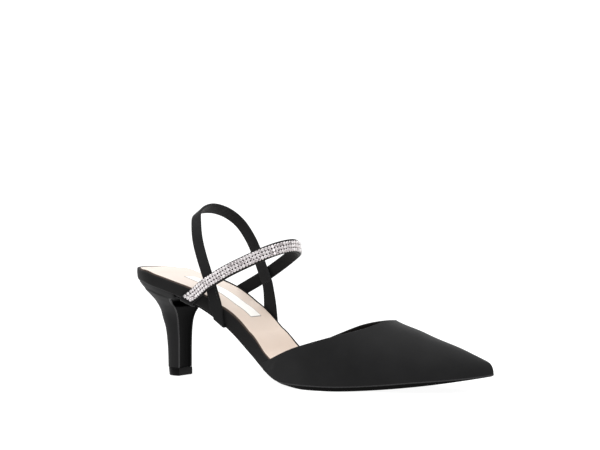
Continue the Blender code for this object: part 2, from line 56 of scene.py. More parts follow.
# The last that every piece follows. Tables hold shares of the sizes above them.
last = {
    "length": 0.2399,
    "ballWidth": 0.0700,
    "seatHeight": 0.0656,
    "treadEnd": 0.1555,
    "toeSpring": 0.0094,
    "toeSpringPower": 1.65,
    "toeTrim": 0.0016,
    "toeTrimStart": 0.1768,
    "clearance": 0.0003,
    "slopeReach": 0.0005,
    "steps": 40,
    "dipSteps": 6,
    # share of the length, then lateral and medial share of the ball width
    "outline": (
        (0.000, 0.000, 0.000),
        (0.023, 0.202, 0.202),
        (0.040, 0.270, 0.270),
        (0.062, 0.317, 0.319),
        (0.085, 0.346, 0.349),
        (0.125, 0.361, 0.364),
        (0.181, 0.361, 0.364),
        (0.223, 0.346, 0.351),
        (0.303, 0.307, 0.311),
        (0.344, 0.288, 0.291),
        (0.383, 0.286, 0.288),
        (0.427, 0.309, 0.308),
        (0.464, 0.354, 0.341),
        (0.544, 0.456, 0.434),
        (0.594, 0.499, 0.486),
        (0.648, 0.494, 0.497),
        (0.725, 0.413, 0.451),
        (0.805, 0.317, 0.377),
        (0.874, 0.219, 0.294),
        (0.920, 0.137, 0.227),
        (0.956, 0.061, 0.161),
        (0.980, 0.011, 0.111),
        (0.994, -0.019, 0.076),
        (1.000, -0.046, 0.046),
    ),
    # share of the length, share of the seat height
    "soleLine": (
        (0.000, 0.843),
        (0.023, 0.855),
        (0.040, 0.863),
        (0.062, 0.860),
        (0.106, 0.819),
        (0.142, 0.784),
        (0.223, 0.686),
        (0.303, 0.509),
        (0.383, 0.245),
        (0.429, 0.105),
        (0.461, 0.053),
        (0.486, 0.017),
        (0.511, 0.003),
        (0.531, 0.000),
    ),
}


# Curves

def monotone(xs, ys, at):  # smooth curve through a table, straight on past its ends
    xs, ys, at = np.asarray(xs, float), np.asarray(ys, float), np.asarray(at, float)
    step = np.diff(xs)
    rise = np.diff(ys) / step
    slope = np.empty_like(ys)
    slope[0], slope[-1] = rise[0], rise[-1]
    sameWay = rise[:-1] * rise[1:] > 0
    weightA, weightB = 2 * step[1:] + step[:-1], step[1:] + 2 * step[:-1]
    safeA, safeB = np.where(sameWay, rise[:-1], 1), np.where(sameWay, rise[1:], 1)
    slope[1:-1] = np.where(sameWay, (weightA + weightB) / (weightA / safeA + weightB / safeB), 0)
    i = np.clip(np.searchsorted(xs, at) - 1, 0, len(step) - 1)
    t = (at - xs[i]) / step[i]
    inside = np.clip(t, 0, 1)
    t2, t3 = inside**2, inside**3
    value = (2 * t3 - 3 * t2 + 1) * ys[i] + (t3 - 2 * t2 + inside) * step[i] * slope[i]
    value = value + (3 * t2 - 2 * t3) * ys[i + 1] + (t3 - t2) * step[i] * slope[i + 1]
    return value + (t - inside) * step[i] * np.where(t > 1, slope[-1], slope[0])


def splineThrough(points, count, closed=False):
    points = np.asarray(points, float)
    if closed:
        padded = np.vstack([points[-1:], points, points[:2]])
    else:
        padded = np.vstack([2 * points[0] - points[1], points, 2 * points[-1] - points[-2]])
    found = []
    for a, b, c, d in zip(padded, padded[1:], padded[2:], padded[3:]):
        ab, bc, cd = (max(np.linalg.norm(q - p), 1e-9) ** 0.5 for p, q in ((a, b), (b, c), (c, d)))
        start = bc * ((b - a) / ab - (c - a) / (ab + bc) + (c - b) / bc)
        end = bc * ((c - b) / bc - (d - b) / (bc + cd) + (d - c) / cd)
        t = (np.arange(count) / count)[:, None]
        found.append(
            (2 * t**3 - 3 * t**2 + 1) * b
            + (t**3 - 2 * t**2 + t) * start
            + (3 * t**2 - 2 * t**3) * c
            + (t**3 - t**2) * end
        )
    if not closed:
        found.append(points[-1:])
    return np.vstack(found)


def smoothStep(x, start, end):
    t = np.clip((x - start) / (end - start), 0, 1)
    return t * t * (3 - 2 * t)


def lengthsAlong(points):
    return np.concatenate([[0], np.cumsum(np.linalg.norm(np.diff(points, axis=0), axis=1))])


def softened(rows, spacing, reach):  # Gaussian average along a line of even spacing
    half = max(1, int(3 * reach / spacing))
    weights = np.exp(-0.5 * (np.arange(-half, half + 1) * spacing / reach) ** 2)
    weights /= weights.sum()
    before = 2 * rows[0] - rows[half:0:-1]
    after = 2 * rows[-1] - rows[-2:-half - 2:-1]
    padded = np.vstack([before, rows, after])
    return np.stack([np.convolve(padded[:, k], weights, "valid") for k in range(rows.shape[1])], 1)


def unit(vectors):
    return vectors / np.maximum(np.linalg.norm(vectors, axis=-1), smallestLength)[..., None]


# The last's plan and heights

def planSides():
    rows = np.array(last["outline"])
    x = rows[:, 0] * last["length"]
    outer = np.stack([x, -rows[:, 1] * last["ballWidth"]], 1)
    inner = np.stack([x, rows[:, 2] * last["ballWidth"]], 1)
    loop = splineThrough(np.vstack([outer, inner[-2:0:-1]]), last["steps"], closed=True)
    tip = (len(rows) - 1) * last["steps"]
    return {lateral: loop[: tip + 1], medial: np.vstack([loop[:1], loop[:tip - 1:-1]])}


plan = planSides()


def halfWidth(side, x):
    return side * np.interp(x, plan[side][:, 0], plan[side][:, 1])


def offsetSide(side, outward):
    line = plan[side]
    along = np.gradient(line, axis=0)
    normals = np.stack([-along[:, 1], along[:, 0]], 1) * side
    normals[0], normals[-1] = (-1, 0), (1, 0)
    return line + unit(normals) * np.broadcast_to(outward, len(line))[:, None]


def soleLine(x):
    rows = np.array(last["soleLine"])
    shank = monotone(rows[:, 0] * last["length"], rows[:, 1] * last["seatHeight"], x)
    raised = np.clip((x - last["treadEnd"]) / (last["length"] - last["treadEnd"]), 0, None)
    spring = last["toeSpring"] * raised ** last["toeSpringPower"]
    return np.where(x < rows[-1, 0] * last["length"], shank, 0) + spring


def trimmed(x):  # the toe's point, drawn back a little
    ahead = np.clip((x - last["toeTrimStart"]) / (last["length"] - last["toeTrimStart"]), 0, 1)
    return x - last["toeTrim"] * ahead**3


def lean(x):  # how much longer a thickness square to the sole is straight up
    reach = last["slopeReach"]
    slope = (soleLine(x + reach) - soleLine(x - reach)) / (2 * reach)
    return np.sqrt(1 + slope**2)


def pairedStations(lines, start, end, count):
    xs = []
    for line in lines:
        length = lengthsAlong(line)
        first, final = np.interp([start, end], line[:, 0], length)
        xs.append(np.interp(np.linspace(first, final, count), length, line[:, 0]))
    x = (xs[0] + xs[1]) / 2
    return [np.stack([x, np.interp(x, line[:, 0], line[:, 1])], 1) for line in lines]


# Where the shoe's places lie in the frame
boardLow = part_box("insole_board")[0]
place = np.array(
    [boardLow.x - last["clearance"], boardLow.y - offsetSide(lateral, -last["clearance"])[:, 1].min(), 0.0]
)


# Meshes

def makePiece(name, verts, faces, materials, slots=None, uv=None):
    mesh = bpy.data.meshes.new(name)
    mesh.from_pydata((np.asarray(verts, float) + place).tolist(), [], [tuple(map(int, f)) for f in faces])
    for material in materials:
        mesh.materials.append(material)
    if slots is not None:
        mesh.polygons.foreach_set("material_index", np.asarray(slots, np.int32))
    if uv is not None:
        layer = mesh.uv_layers.new(name="along")
        corners = np.empty(len(mesh.loops), np.int32)
        mesh.loops.foreach_get("vertex_index", corners)
        layer.data.foreach_set("uv", np.asarray(uv, np.float32)[corners].ravel())
    work = bmesh.new()
    work.from_mesh(mesh)
    bmesh.ops.remove_doubles(work, verts=work.verts, dist=weldDistance)
    bmesh.ops.recalc_face_normals(work, faces=work.faces)
    if work.calc_volume(signed=True) < 0:
        bmesh.ops.reverse_faces(work, faces=work.faces)
    work.to_mesh(mesh)
    work.free()
    mesh.shade_smooth()
    mesh.set_sharp_from_angle(angle=sharpAngle)
    obj = bpy.data.objects.new(name, mesh)
    bpy.context.scene.collection.objects.link(obj)
    return obj


def finishPiece(obj, slotName, *nodes):
    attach(obj, "root")
    if nodes:
        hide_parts(*nodes)
    return obj


def loft(rings):  # quads between rings of equal length
    count = len(rings[0])
    faces = []
    for ring in range(len(rings) - 1):
        low, high = ring * count, (ring + 1) * count
        for i in range(count):
            j = (i + 1) % count
            faces.append((low + i, low + j, high + j, high + i))
    return np.vstack(rings), faces


def closedLoft(rings):  # a loft with both ends filled
    verts, faces = loft(rings)
    count = len(rings[0])
    faces.append(tuple(range(len(verts) - count, len(verts))))
    faces.append(tuple(range(count))[::-1])
    return verts, faces


def gridFaces(rows, columns):
    corners = (i * columns + k for i in range(rows - 1) for k in range(columns - 1))
    return [(a, a + 1, a + columns + 1, a + columns) for a in corners]


def planRing(outward, height, stations, columns, start=0.0, end=np.inf):
    lines = [offsetSide(side, outward(plan[side][:, 0])) for side in (lateral, medial)]
    start, end = max(start, lines[0][0, 0]), min(end, lines[0][-1, 0])
    outer, inner = pairedStations(lines, start, end, stations)
    share = (np.arange(1, columns) / columns)[:, None]
    front = outer[-1] + share * (inner[-1] - outer[-1])
    back = inner[0] + share * (outer[0] - inner[0])
    ring = np.vstack([outer, front, inner[::-1], back])
    return np.column_stack([trimmed(ring[:, 0]), ring[:, 1], height(ring[:, 0])])


def capGrid(ring, stations, columns, dip=0.0):  # surface across a ring from planRing
    outer = ring[:stations]
    inner = ring[stations + columns - 1 : 2 * stations + columns - 1][::-1]
    share = np.linspace(0, 1, columns + 1)
    grid = outer[:, None] + share[None, :, None] * (inner - outer)[:, None]
    edge = np.minimum(np.arange(stations), np.arange(stations)[::-1]) / last["dipSteps"]
    grid[:, :, 2] -= dip * np.clip(edge, 0, 1)[:, None] * np.sin(np.pi * share)[None, :]
    return grid.reshape(-1, 3), gridFaces(stations, columns + 1)


def joinParts(parts):  # (verts, faces, slot) runs in one list
    verts, faces, slots = [], [], []
    for partVerts, partFaces, slot in parts:
        base = sum(len(v) for v in verts)
        verts.append(partVerts)
        faces.extend(tuple(base + i for i in face) for face in partFaces)
        slots.extend([slot] * len(partFaces) if np.isscalar(slot) else slot)
    return np.vstack(verts), faces, slots


# Materials

def blankMaterial(name, colour, roughness, sockets=None):
    material = bpy.data.materials.new(name)
    material.use_nodes = True
    material.diffuse_color = (*colour, 1)
    tree = material.node_tree
    shader = tree.nodes["Principled BSDF"]
    shader.inputs["Base Color"].default_value = (*colour, 1)
    shader.inputs["Roughness"].default_value = roughness
    for title, value in (sockets or {}).items():
        shader.inputs[title].default_value = value
    return material, tree, shader


def addNode(tree, kind, inputs=None, **settings):  # each input is a value or another node's output
    node = tree.nodes.new(kind)
    for key, value in settings.items():
        setattr(node, key, value)
    for key, value in (inputs or {}).items():
        if isinstance(value, bpy.types.NodeSocket):
            tree.links.new(value, node.inputs[key])
        else:
            node.inputs[key].default_value = value
    return node


def objectCoords(tree):
    return addNode(tree, "ShaderNodeTexCoord").outputs["Object"]


def noiseOf(tree, coords, scale, detail=2.0, stretch=(1, 1, 1)):
    mapping = addNode(tree, "ShaderNodeMapping", {"Vector": coords, "Scale": stretch})
    inputs = {"Vector": mapping.outputs["Vector"], "Scale": scale, "Detail": detail}
    return addNode(tree, "ShaderNodeTexNoise", inputs).outputs["Fac"]


def toneRamp(tree, factor, stops):  # (place, colour) from low to high
    ramp = addNode(tree, "ShaderNodeValToRGB", {"Fac": factor})
    marks = ramp.color_ramp.elements
    for _ in stops[2:]:
        marks.new(0.5)
    for mark, (at, colour) in zip(marks, stops):
        mark.position = at
        mark.color = (*colour, 1)
    return ramp.outputs["Color"]


def mixedColour(tree, factor, low, high, lowUpTo=0.3, highFrom=0.7):
    return toneRamp(tree, factor, ((lowUpTo, low), (highFrom, high)))


def spreadValue(tree, factor, low, high):
    inputs = {"Value": factor, "To Min": low, "To Max": high}
    return addNode(tree, "ShaderNodeMapRange", inputs).outputs["Result"]


def bumpFrom(tree, shader, heights):  # (height, strength, distance) from coarse to fine
    normal = None
    for height, strength, distance in heights:
        inputs = {"Height": height, "Strength": strength, "Distance": distance}
        if normal:
            inputs["Normal"] = normal
        normal = addNode(tree, "ShaderNodeBump", inputs).outputs["Normal"]
    tree.links.new(normal, shader.inputs["Normal"])


clothLooks = {
    # darkest and palest tone, lowest and highest roughness
    "upper": ((0.0100, 0.0100, 0.0103), (0.0130, 0.0130, 0.0134), (0.52, 0.62)),
    "boardCover": ((0.0100, 0.0097, 0.0097), (0.0130, 0.0126, 0.0126), (0.50, 0.60)),
    "heelCover": ((0.0105, 0.0105, 0.0108), (0.0135, 0.0135, 0.0139), (0.50, 0.60)),
    "tab": ((0.0100, 0.0100, 0.0103), (0.0130, 0.0130, 0.0134), (0.55, 0.65)),
}

clothWeave = {
    "sockets": {"Sheen Weight": 0.015, "Sheen Roughness": 0.45, "Specular IOR Level": 0.08},
    "patchScale": 70,
    "napScale": 2600,
    "napBump": (0.16, 0.00008),
    "threadScale": 900,
    "threadStretch": ((0.25, 1, 2), (2, 1, 0.25)),
    "threadBump": (0.10, 0.00012),
}


def clothMaterial(name):  # short-napped black microfibre with a fine crossed thread under it
    low, high, roughness = clothLooks[name]
    weave = clothWeave
    material, tree, shader = blankMaterial(name, high, roughness[0], weave["sockets"])
    coords = objectCoords(tree)
    patches = noiseOf(tree, coords, weave["patchScale"], detail=4)
    nap = noiseOf(tree, coords, weave["napScale"], detail=3)
    bumps = []
    for stretch in weave["threadStretch"]:
        threads = noiseOf(tree, coords, weave["threadScale"], detail=1, stretch=stretch)
        bumps.append((threads, *weave["threadBump"]))
    tree.links.new(mixedColour(tree, patches, low, high), shader.inputs["Base Color"])
    tree.links.new(spreadValue(tree, nap, *roughness), shader.inputs["Roughness"])
    bumpFrom(tree, shader, (*bumps, (nap, *weave["napBump"])))
    return material


liningLook = {
    "colour": (0.0035, 0.0036, 0.0038),
    "roughness": (0.6, 0.8),
    "sockets": {"Specular IOR Level": 0.1},
    "grainScale": 1800,
    "grainBump": (0.2, 0.0001),
}


def darkLiningMaterial():  # the vamp's inside
    look = liningLook
    low, high = look["roughness"]
    material, tree, shader = blankMaterial("vampLining", look["colour"], low, look["sockets"])
    grain = noiseOf(tree, objectCoords(tree), look["grainScale"], detail=3)
    tree.links.new(spreadValue(tree, grain, low, high), shader.inputs["Roughness"])
    bumpFrom(tree, shader, ((grain, *look["grainBump"]),))
    return material


sockLook = {
    "seat": (0.72, 0.635, 0.57),
    "front": (0.70, 0.565, 0.465),
    "seatToFront": (-0.085, -0.005),
    "blotches": ((0.93, 0.90, 0.88), (1.0, 1.0, 1.0)),
    "blotchScale": 45,
    "blotchShare": 0.35,
    "roughness": (0.42, 0.56),
    "wrinkleScale": 320,
    "wrinkleStretch": (0.6, 1.6, 1),
    "wrinkleBump": (0.10, 0.0003),
    "poreScale": 1500,
    "poreBump": (0.12, 0.0001),
}


def sockMaterial():  # smooth beige lining with fine pores, paler towards the seat
    look = sockLook
    material, tree, shader = blankMaterial("sockLining", look["front"], look["roughness"][0])
    coords = objectCoords(tree)
    split = addNode(tree, "ShaderNodeSeparateXYZ", {"Vector": coords})
    seatEnd, frontEnd = look["seatToFront"]
    reach = {"Value": split.outputs["X"], "From Min": seatEnd, "From Max": frontEnd}
    along = addNode(tree, "ShaderNodeMapRange", reach).outputs["Result"]
    base = toneRamp(tree, along, ((0.0, look["seat"]), (1.0, look["front"])))
    blotches = noiseOf(tree, coords, look["blotchScale"], detail=5)
    tone = mixedColour(tree, blotches, *look["blotches"])
    mixed = {"Factor": look["blotchShare"], "A": base, "B": tone}
    mix = addNode(tree, "ShaderNodeMix", mixed, data_type="RGBA", blend_type="MULTIPLY")
    tree.links.new(mix.outputs["Result"], shader.inputs["Base Color"])
    pores = addNode(tree, "ShaderNodeTexVoronoi", {"Vector": coords, "Scale": look["poreScale"]})
    wrinkles = noiseOf(tree, coords, look["wrinkleScale"], detail=4, stretch=look["wrinkleStretch"])
    tree.links.new(spreadValue(tree, wrinkles, *look["roughness"]), shader.inputs["Roughness"])
    bumps = ((wrinkles, *look["wrinkleBump"]), (pores.outputs["Distance"], *look["poreBump"]))
    bumpFrom(tree, shader, bumps)
    return material


plainLooks = {
    # colour, lowest and highest roughness, grain scale and depth
    "sockEdge": ((0.080, 0.052, 0.040), (0.55, 0.70), 1500, 0.20),
    "labelSatin": ((0.97, 0.95, 0.91), (0.40, 0.50), 1900, 0.08),
    "labelLine": ((0.33, 0.31, 0.29), (0.50, 0.60), 1900, 0.08),
    "soleRubber": ((0.006, 0.006, 0.0065), (0.45, 0.58), 1300, 0.12),
    # near-black lower sole edge: black rubber made darker still as painted shade where the edge turns under
    "soleEdgeBlackAndShade": ((0.002, 0.002, 0.002), (0.25, 0.35), 1300, 0.08),
    # lighter, glossier strip at the sole's top edge: partly an edge finish, partly a painted highlight
    "featherEdgeAndHighlight": ((0.017, 0.017, 0.018), (0.45, 0.55), 1600, 0.12),
    # near-black heel breast: a black panel made darker still as painted shade
    "heelBreastAndShade": ((0.0016, 0.0016, 0.0017), (0.32, 0.42), 1300, 0.08),
    # lighter, glossier lips at the breast corners: a painted highlight
    "heelEdgeHighlight": ((0.020, 0.020, 0.021), (0.34, 0.44), 1300, 0.08),
    "liftRubber": ((0.003, 0.003, 0.0032), (0.30, 0.42), 1400, 0.08),
    "threadBlack": ((0.012, 0.012, 0.0125), (0.45, 0.55), 3000, 0.20),
    "cupMetal": ((0.020, 0.017, 0.018), (0.30, 0.42), 2200, 0.05),
    "stoneTape": ((0.020, 0.018, 0.018), (0.40, 0.50), 2000, 0.10),
}

plainSockets = {
    "soleRubber": {"Specular IOR Level": 0.08},
    "soleEdgeBlackAndShade": {"Specular IOR Level": 0.05},
    "featherEdgeAndHighlight": {"Specular IOR Level": 0.3},
    "heelBreastAndShade": {"Specular IOR Level": 0.02},
    "heelEdgeHighlight": {"Specular IOR Level": 0.45},
    "liftRubber": {"Specular IOR Level": 0.06},
    "cupMetal": {"Metallic": 0.5},
}

plainGrain = {
    "shade": 0.8,  # how dark the broad patches are against the colour
    "satinShade": 0.96,
    "broadShare": 20,
    "bumpDistance": 0.0001,
}


def plainMaterial(name):
    colour, roughness, scale, depth = plainLooks[name]
    material, tree, shader = blankMaterial(name, colour, roughness[0], plainSockets.get(name))
    coords = objectCoords(tree)
    grain = noiseOf(tree, coords, scale, detail=4)
    broad = noiseOf(tree, coords, scale / plainGrain["broadShare"], detail=3)
    shade = plainGrain["satinShade" if name == "labelSatin" else "shade"]
    darker = tuple(shade * c for c in colour)
    tree.links.new(mixedColour(tree, broad, darker, colour), shader.inputs["Base Color"])
    tree.links.new(spreadValue(tree, grain, *roughness), shader.inputs["Roughness"])
    bumpFrom(tree, shader, ((grain, depth, plainGrain["bumpDistance"]),))
    return material


tapeLook = {
    "slingTape": (0.0150, 0.0150, 0.0154),
    "ankleTape": (0.0085, 0.0085, 0.0087),
    "sockets": {"Sheen Weight": 0.06, "Sheen Roughness": 0.4, "Specular IOR Level": 0.10},
    "roughness": (0.54, 0.66),
    "shade": 0.72,
    "patchScale": 110,
    "ribs": {"Scale": 520.0, "Distortion": 0.6, "Detail Scale": 3.0},
    "ribBump": (0.22, 0.0001),
    "cords": {"Scale": 380.0, "Distortion": 0.4},
    "cordBump": (0.12, 0.0001),
    "fuzzScale": 2400,
    "fuzzBump": (0.18, 0.00008),
}


def ribbedTapeMaterial(name):  # woven tape: ribs across, read from the strap's own map
    look = tapeLook
    colour = look[name]
    material, tree, shader = blankMaterial(name, colour, look["roughness"][0], look["sockets"])
    run = addNode(tree, "ShaderNodeUVMap", uv_map="along").outputs["UV"]
    ribs = addNode(tree, "ShaderNodeTexWave", {"Vector": run, **look["ribs"]}, bands_direction="X")
    cords = addNode(tree, "ShaderNodeTexWave", {"Vector": run, **look["cords"]}, bands_direction="Y")
    coords = objectCoords(tree)
    fuzz = noiseOf(tree, coords, look["fuzzScale"], detail=3)
    broad = noiseOf(tree, coords, look["patchScale"], detail=4)
    darker = tuple(look["shade"] * c for c in colour)
    tree.links.new(mixedColour(tree, broad, darker, colour), shader.inputs["Base Color"])
    tree.links.new(spreadValue(tree, fuzz, *look["roughness"]), shader.inputs["Roughness"])
    bumps = ((ribs.outputs["Fac"], *look["ribBump"]), (cords.outputs["Fac"], *look["cordBump"]))
    bumpFrom(tree, shader, (*bumps, (fuzz, *look["fuzzBump"])))
    return material


crystalLook = {
    "colour": (0.85, 0.82, 0.83),
    "tones": ((0.0, (0.27, 0.23, 0.24)), (0.35, (0.63, 0.58, 0.59)), (1.0, (0.92, 0.89, 0.89))),
    "roughness": (0.08, 0.24),
    "sockets": {"Metallic": 0.30, "Specular IOR Level": 0.9, "Coat Weight": 1.0, "Coat Roughness": 0.02},
}


def crystalMaterial():  # foiled stone: each facet has its own depth of tone
    look = crystalLook
    material, tree, shader = blankMaterial("crystal", look["colour"], look["roughness"][0], look["sockets"])
    facet = addNode(tree, "ShaderNodeAttribute", attribute_name="facet").outputs["Fac"]
    tree.links.new(toneRamp(tree, facet, look["tones"]), shader.inputs["Base Color"])
    tree.links.new(spreadValue(tree, facet, *look["roughness"]), shader.inputs["Roughness"])
    return material


cloth = {name: clothMaterial(name) for name in clothLooks}
plain = {name: plainMaterial(name) for name in plainLooks}
tape = {name: ribbedTapeMaterial(name) for name in ("slingTape", "ankleTape")}
liningDark = darkLiningMaterial()
sockSkin = sockMaterial()
stoneGlass = crystalMaterial()
print("finishes made")


# Covered board under the foot
board = {
    "seatThickness": 0.0063,
    "foreThickness": 0.0028,
    "toeEase": 0.0012,
    "lowRound": 0.0010,
    "seatRoundRise": 0.0056,
    "seatRoundInset": 0.0030,
    "seatRoundReach": 0.0220,
    "topRound": 0.0004,
    "sideSwell": 0.00015,
    "lipHeight": 0.0016,
    "lipWidth": 0.0014,
    "lipReach": 0.0200,
    "edgeRise": 0.0005,
    "rimFall": (0.0040, 0.0130),
    "medialRise": 0.0015,
    "medialStart": (0.0300, 0.0420),
    "edgeWidth": 0.0009,
    "edgeFade": (0.1950, 0.2100),
    "backInset": 0.0007,
    "backInsetReach": 0.0140,
    "stations": 220,
    "columns": 20,
    "roundSteps": 5,
    "medialSpan": (-0.0040, 0.0100),
    "rimDrop": 0.0001,
    # share of the length, share of the way from the fore to the seat thickness
    "body": (
        (0.000, 1.54),
        (0.023, 1.31),
        (0.040, 1.17),
        (0.062, 1.00),
        (0.240, 1.00),
        (0.303, 1.06),
        (0.383, 1.36),
        (0.429, 1.34),
        (0.461, 1.11),
        (0.491, 0.86),
        (0.552, 0.31),
        (0.633, 0.00),
        (1.000, 0.00),
    ),
}

outsole = {
    "thickness": 0.0018,
    "shankInset": 0.0032,
    "waistBlend": 0.0220,
    "waistLead": 0.0020,
    "proud": 0.00015,
    "bandHeight": 0.0030,
    "bandToeHeight": 0.0012,
    "bandToeStart": 0.1950,
    "stripHeight": 0.0007,
    "feather": (0.1000, 0.1100, 0.1180, 0.1400),
    "featherShare": 0.70,
    "underRound": 0.0010,
    "underShare": 0.7,
    "roundSteps": 6,
    "tuckIn": 0.0004,
    "topInset": 0.0030,
    "coverReach": 0.0015,
    "blackShadeEdges": 1,
    # inset and height from the band's top, going up the edge
    "edge": (
        (0.00040, -0.00095),
        (0.00032, -0.00080),
        (0.00006, -0.00070),
        (0.00000, -0.00060),
        (0.00000, -0.00035),
        (0.00008, -0.00015),
        (0.00030, 0.00000),
        (0.00120, -0.00010),
    ),
}

upper = {
    "wall": 0.0016,
    "throat": 0.1768,
    "throatHeight": 0.0387,
    "rear": 0.1040,
    "roundness": 2.2,
    "toeSetback": 0.0092,
    "toeTangent": 6,
    "rows": 30,
    "rearRibs": 76,
    "frontRibs": 84,
    "crowding": 1.8,
    "rollSteps": 6,
    "rollRise": 0.0006,
    "rollFade": 0.0060,
    "rearWall": 0.0004,
    "rearReach": 0.0140,
    "rearLift": 0.0009,
    "rearLiftReach": 0.0080,
    "footSink": 0.0002,
    "leastShare": 0.001,
    # soft folds: place along, share of the way up, reach along, reach up, depth, slant, side
    "folds": (
        (0.1085, 0.35, 0.0016, 0.60, 0.00022, 0.010, -1),
        (0.1135, 0.40, 0.0020, 0.55, -0.00016, 0.012, -1),
        (0.1290, 0.55, 0.0060, 0.28, 0.00016, 0.020, -1),
        (0.1560, 0.62, 0.0070, 0.22, 0.00018, -0.018, -1),
        (0.1900, 0.55, 0.0090, 0.16, 0.00014, -0.030, -1),
        (0.2130, 0.40, 0.0080, 0.20, 0.00016, -0.020, -1),
        (0.1085, 0.35, 0.0016, 0.60, 0.00020, 0.010, 1),
        (0.1330, 0.50, 0.0060, 0.28, 0.00018, 0.018, 1),
        (0.1640, 0.60, 0.0080, 0.20, 0.00016, -0.018, 1),
        (0.2050, 0.45, 0.0090, 0.20, 0.00014, -0.024, 1),
    ),
    # share of the last's length, share of the throat's height
    "ridge": (
        (0.419, 1.810),
        (0.523, 1.600),
        (0.607, 1.410),
        (0.682, 1.190),
        (0.737, 1.000),
        (0.797, 0.876),
        (0.846, 0.765),
        (0.907, 0.646),
        (0.950, 0.550),
        (0.973, 0.499),
    ),
    # share of the way from the rear to the throat, lateral and medial share of the throat's height
    "topline": (
        (0.000, 0.333, 0.395),
        (0.124, 0.430, 0.552),
        (0.327, 0.583, 0.732),
        (0.541, 0.706, 0.884),
        (0.734, 0.814, 0.957),
        (0.858, 0.884, 0.985),
        (0.946, 0.948, 0.997),
        (0.980, 0.986, 0.999),
        (1.000, 1.000, 1.000),
    ),
}


def outsoleTop(x):
    return soleLine(x) + outsole["thickness"] * lean(x)


def bandTop(x):  # where the vamp meets the sole's edge
    thick = outsole["thickness"]
    rise = smoothStep(x, upper["rear"], upper["rear"] + outsole["waistBlend"])
    fall = smoothStep(x, outsole["bandToeStart"], last["length"])
    height = thick + (outsole["bandHeight"] - thick) * rise
    return soleLine(x) + (height + (outsole["bandToeHeight"] - height) * fall) * lean(x)


def boardBottom(x):
    return outsoleTop(x) + last["clearance"] * lean(x)


def boardTop(x):
    rows = np.array(board["body"])
    share = monotone(rows[:, 0] * last["length"], rows[:, 1], np.clip(x, 0, last["length"]))
    thickness = board["foreThickness"] + share * (board["seatThickness"] - board["foreThickness"])
    return boardBottom(x) + thickness * lean(x)


def boardOutward(x):
    back = board["backInset"] * (1 - smoothStep(x, 0, board["backInsetReach"]))
    return -last["clearance"] - back - board["toeEase"] * smoothStep(x, upper["throat"], last["length"])


def lipTop(x):  # a raised back that runs on as a thin rim beside the sock
    fall = 1 - smoothStep(x, *board["rimFall"])
    height = board["edgeRise"] + (board["lipHeight"] - board["edgeRise"]) * fall
    return boardTop(x) + height * (1 - smoothStep(x, *board["edgeFade"]))


def lipWidth(x):
    pastLip = smoothStep(x, board["lipReach"], 2 * board["lipReach"])
    return board["lipWidth"] + (board["edgeWidth"] - board["lipWidth"]) * pastLip


def makeBoard():
    stations, columns, top = board["stations"], board["columns"], board["topRound"]
    turn = np.linspace(0, math.pi / 2, board["roundSteps"])
    rings = []

    def addRing(outward, height):
        rings.append(planRing(outward, height, stations, columns))

    def rounding(x, atSeat):  # the lower edge is rounder at the seat
        seat = 1 - smoothStep(x, 0, board["seatRoundReach"])
        return board["lowRound"] + (atSeat - board["lowRound"]) * seat

    def underside(x, share):
        return boardBottom(x) + rounding(x, board["seatRoundRise"]) * share

    for a in turn:
        addRing(
            lambda x: boardOutward(x) - rounding(x, board["seatRoundInset"]) * (1 - math.sin(a)),
            lambda x: underside(x, 1 - math.cos(a)),
        )
    addRing(
        lambda x: boardOutward(x) + board["sideSwell"],
        lambda x: (underside(x, 1) + lipTop(x) - top) / 2,
    )
    for a in turn:
        addRing(
            lambda x: boardOutward(x) - top * (1 - math.cos(a)),
            lambda x: lipTop(x) - top * (1 - math.sin(a)),
        )
    addRing(lambda x: boardOutward(x) - lipWidth(x), lipTop)
    for ring in rings[-len(turn) - 1:]:  # past the seat the inner side of the rim stands higher
        lift = smoothStep(ring[:, 1], *board["medialSpan"]) * smoothStep(ring[:, 0], *board["medialStart"])
        ring[:, 2] += board["medialRise"] * lift * (1 - smoothStep(ring[:, 0], *board["edgeFade"]))
    addRing(lambda x: boardOutward(x) - lipWidth(x) - board["rimDrop"], boardTop)
    under, above = (capGrid(ring, stations, columns) for ring in (rings[0], rings[-1]))
    verts, faces, slots = joinParts([(*loft(rings), 0), (*under, 0), (*above, 0)])
    piece = makePiece("coveredBoard", verts, faces, [cloth["boardCover"]], slots)
    return finishPiece(piece, "board_cover", "insole_board")


makeBoard()
print("board made")


# Sock and its blank label
sock = {
    "thickness": 0.0010,
    "inset": 0.0009,
    "length": 0.2150,
    "round": 0.00045,
    "roundSteps": 5,
    "edgeBand": 0.00065,
    "dip": 0.0004,
    "stations": 220,
    "columns": 24,
}

label = {
    "start": 0.0330,
    "end": 0.0838,
    "lateralEdge": -0.0037,
    "medialEdge": 0.0079,
    "tip": -0.0014,
    "taper": 0.0135,
    "blunt": 0.0020,
    "thickness": 0.00018,
    "line": 0.00035,
    "stations": 60,
    "columns": 10,
}


def sockOutward(x):
    return boardOutward(x) - lipWidth(x) - last["clearance"] / 2


def sockBottom(x):
    return boardTop(x) + last["clearance"] * lean(x)


def sockTop(x):
    return sockBottom(x) + sock["thickness"] * lean(x)


def makeSock():
    stations, columns, reach = sock["stations"], sock["columns"], sock["round"]
    rings = []

    def addRing(outward, height):
        rings.append(planRing(outward, height, stations, columns, 0.0, sock["length"]))

    addRing(sockOutward, sockBottom)
    for a in np.linspace(0, math.pi / 2, sock["roundSteps"]):
        addRing(
            lambda x: sockOutward(x) - reach * (1 - math.cos(a)),
            lambda x: sockTop(x) - reach * (1 - math.sin(a)),
        )
    addRing(lambda x: sockOutward(x) - sock["edgeBand"], sockTop)
    under, above = capGrid(rings[0], stations, columns), capGrid(rings[-1], stations, columns, sock["dip"])
    verts, faces, slots = joinParts([(*loft(rings), 1), (*under, 1), (*above, 0)])
    piece = makePiece("sockLining", verts, faces, [sockSkin, plain["sockEdge"]], slots)
    return finishPiece(piece, "sock", "sock")


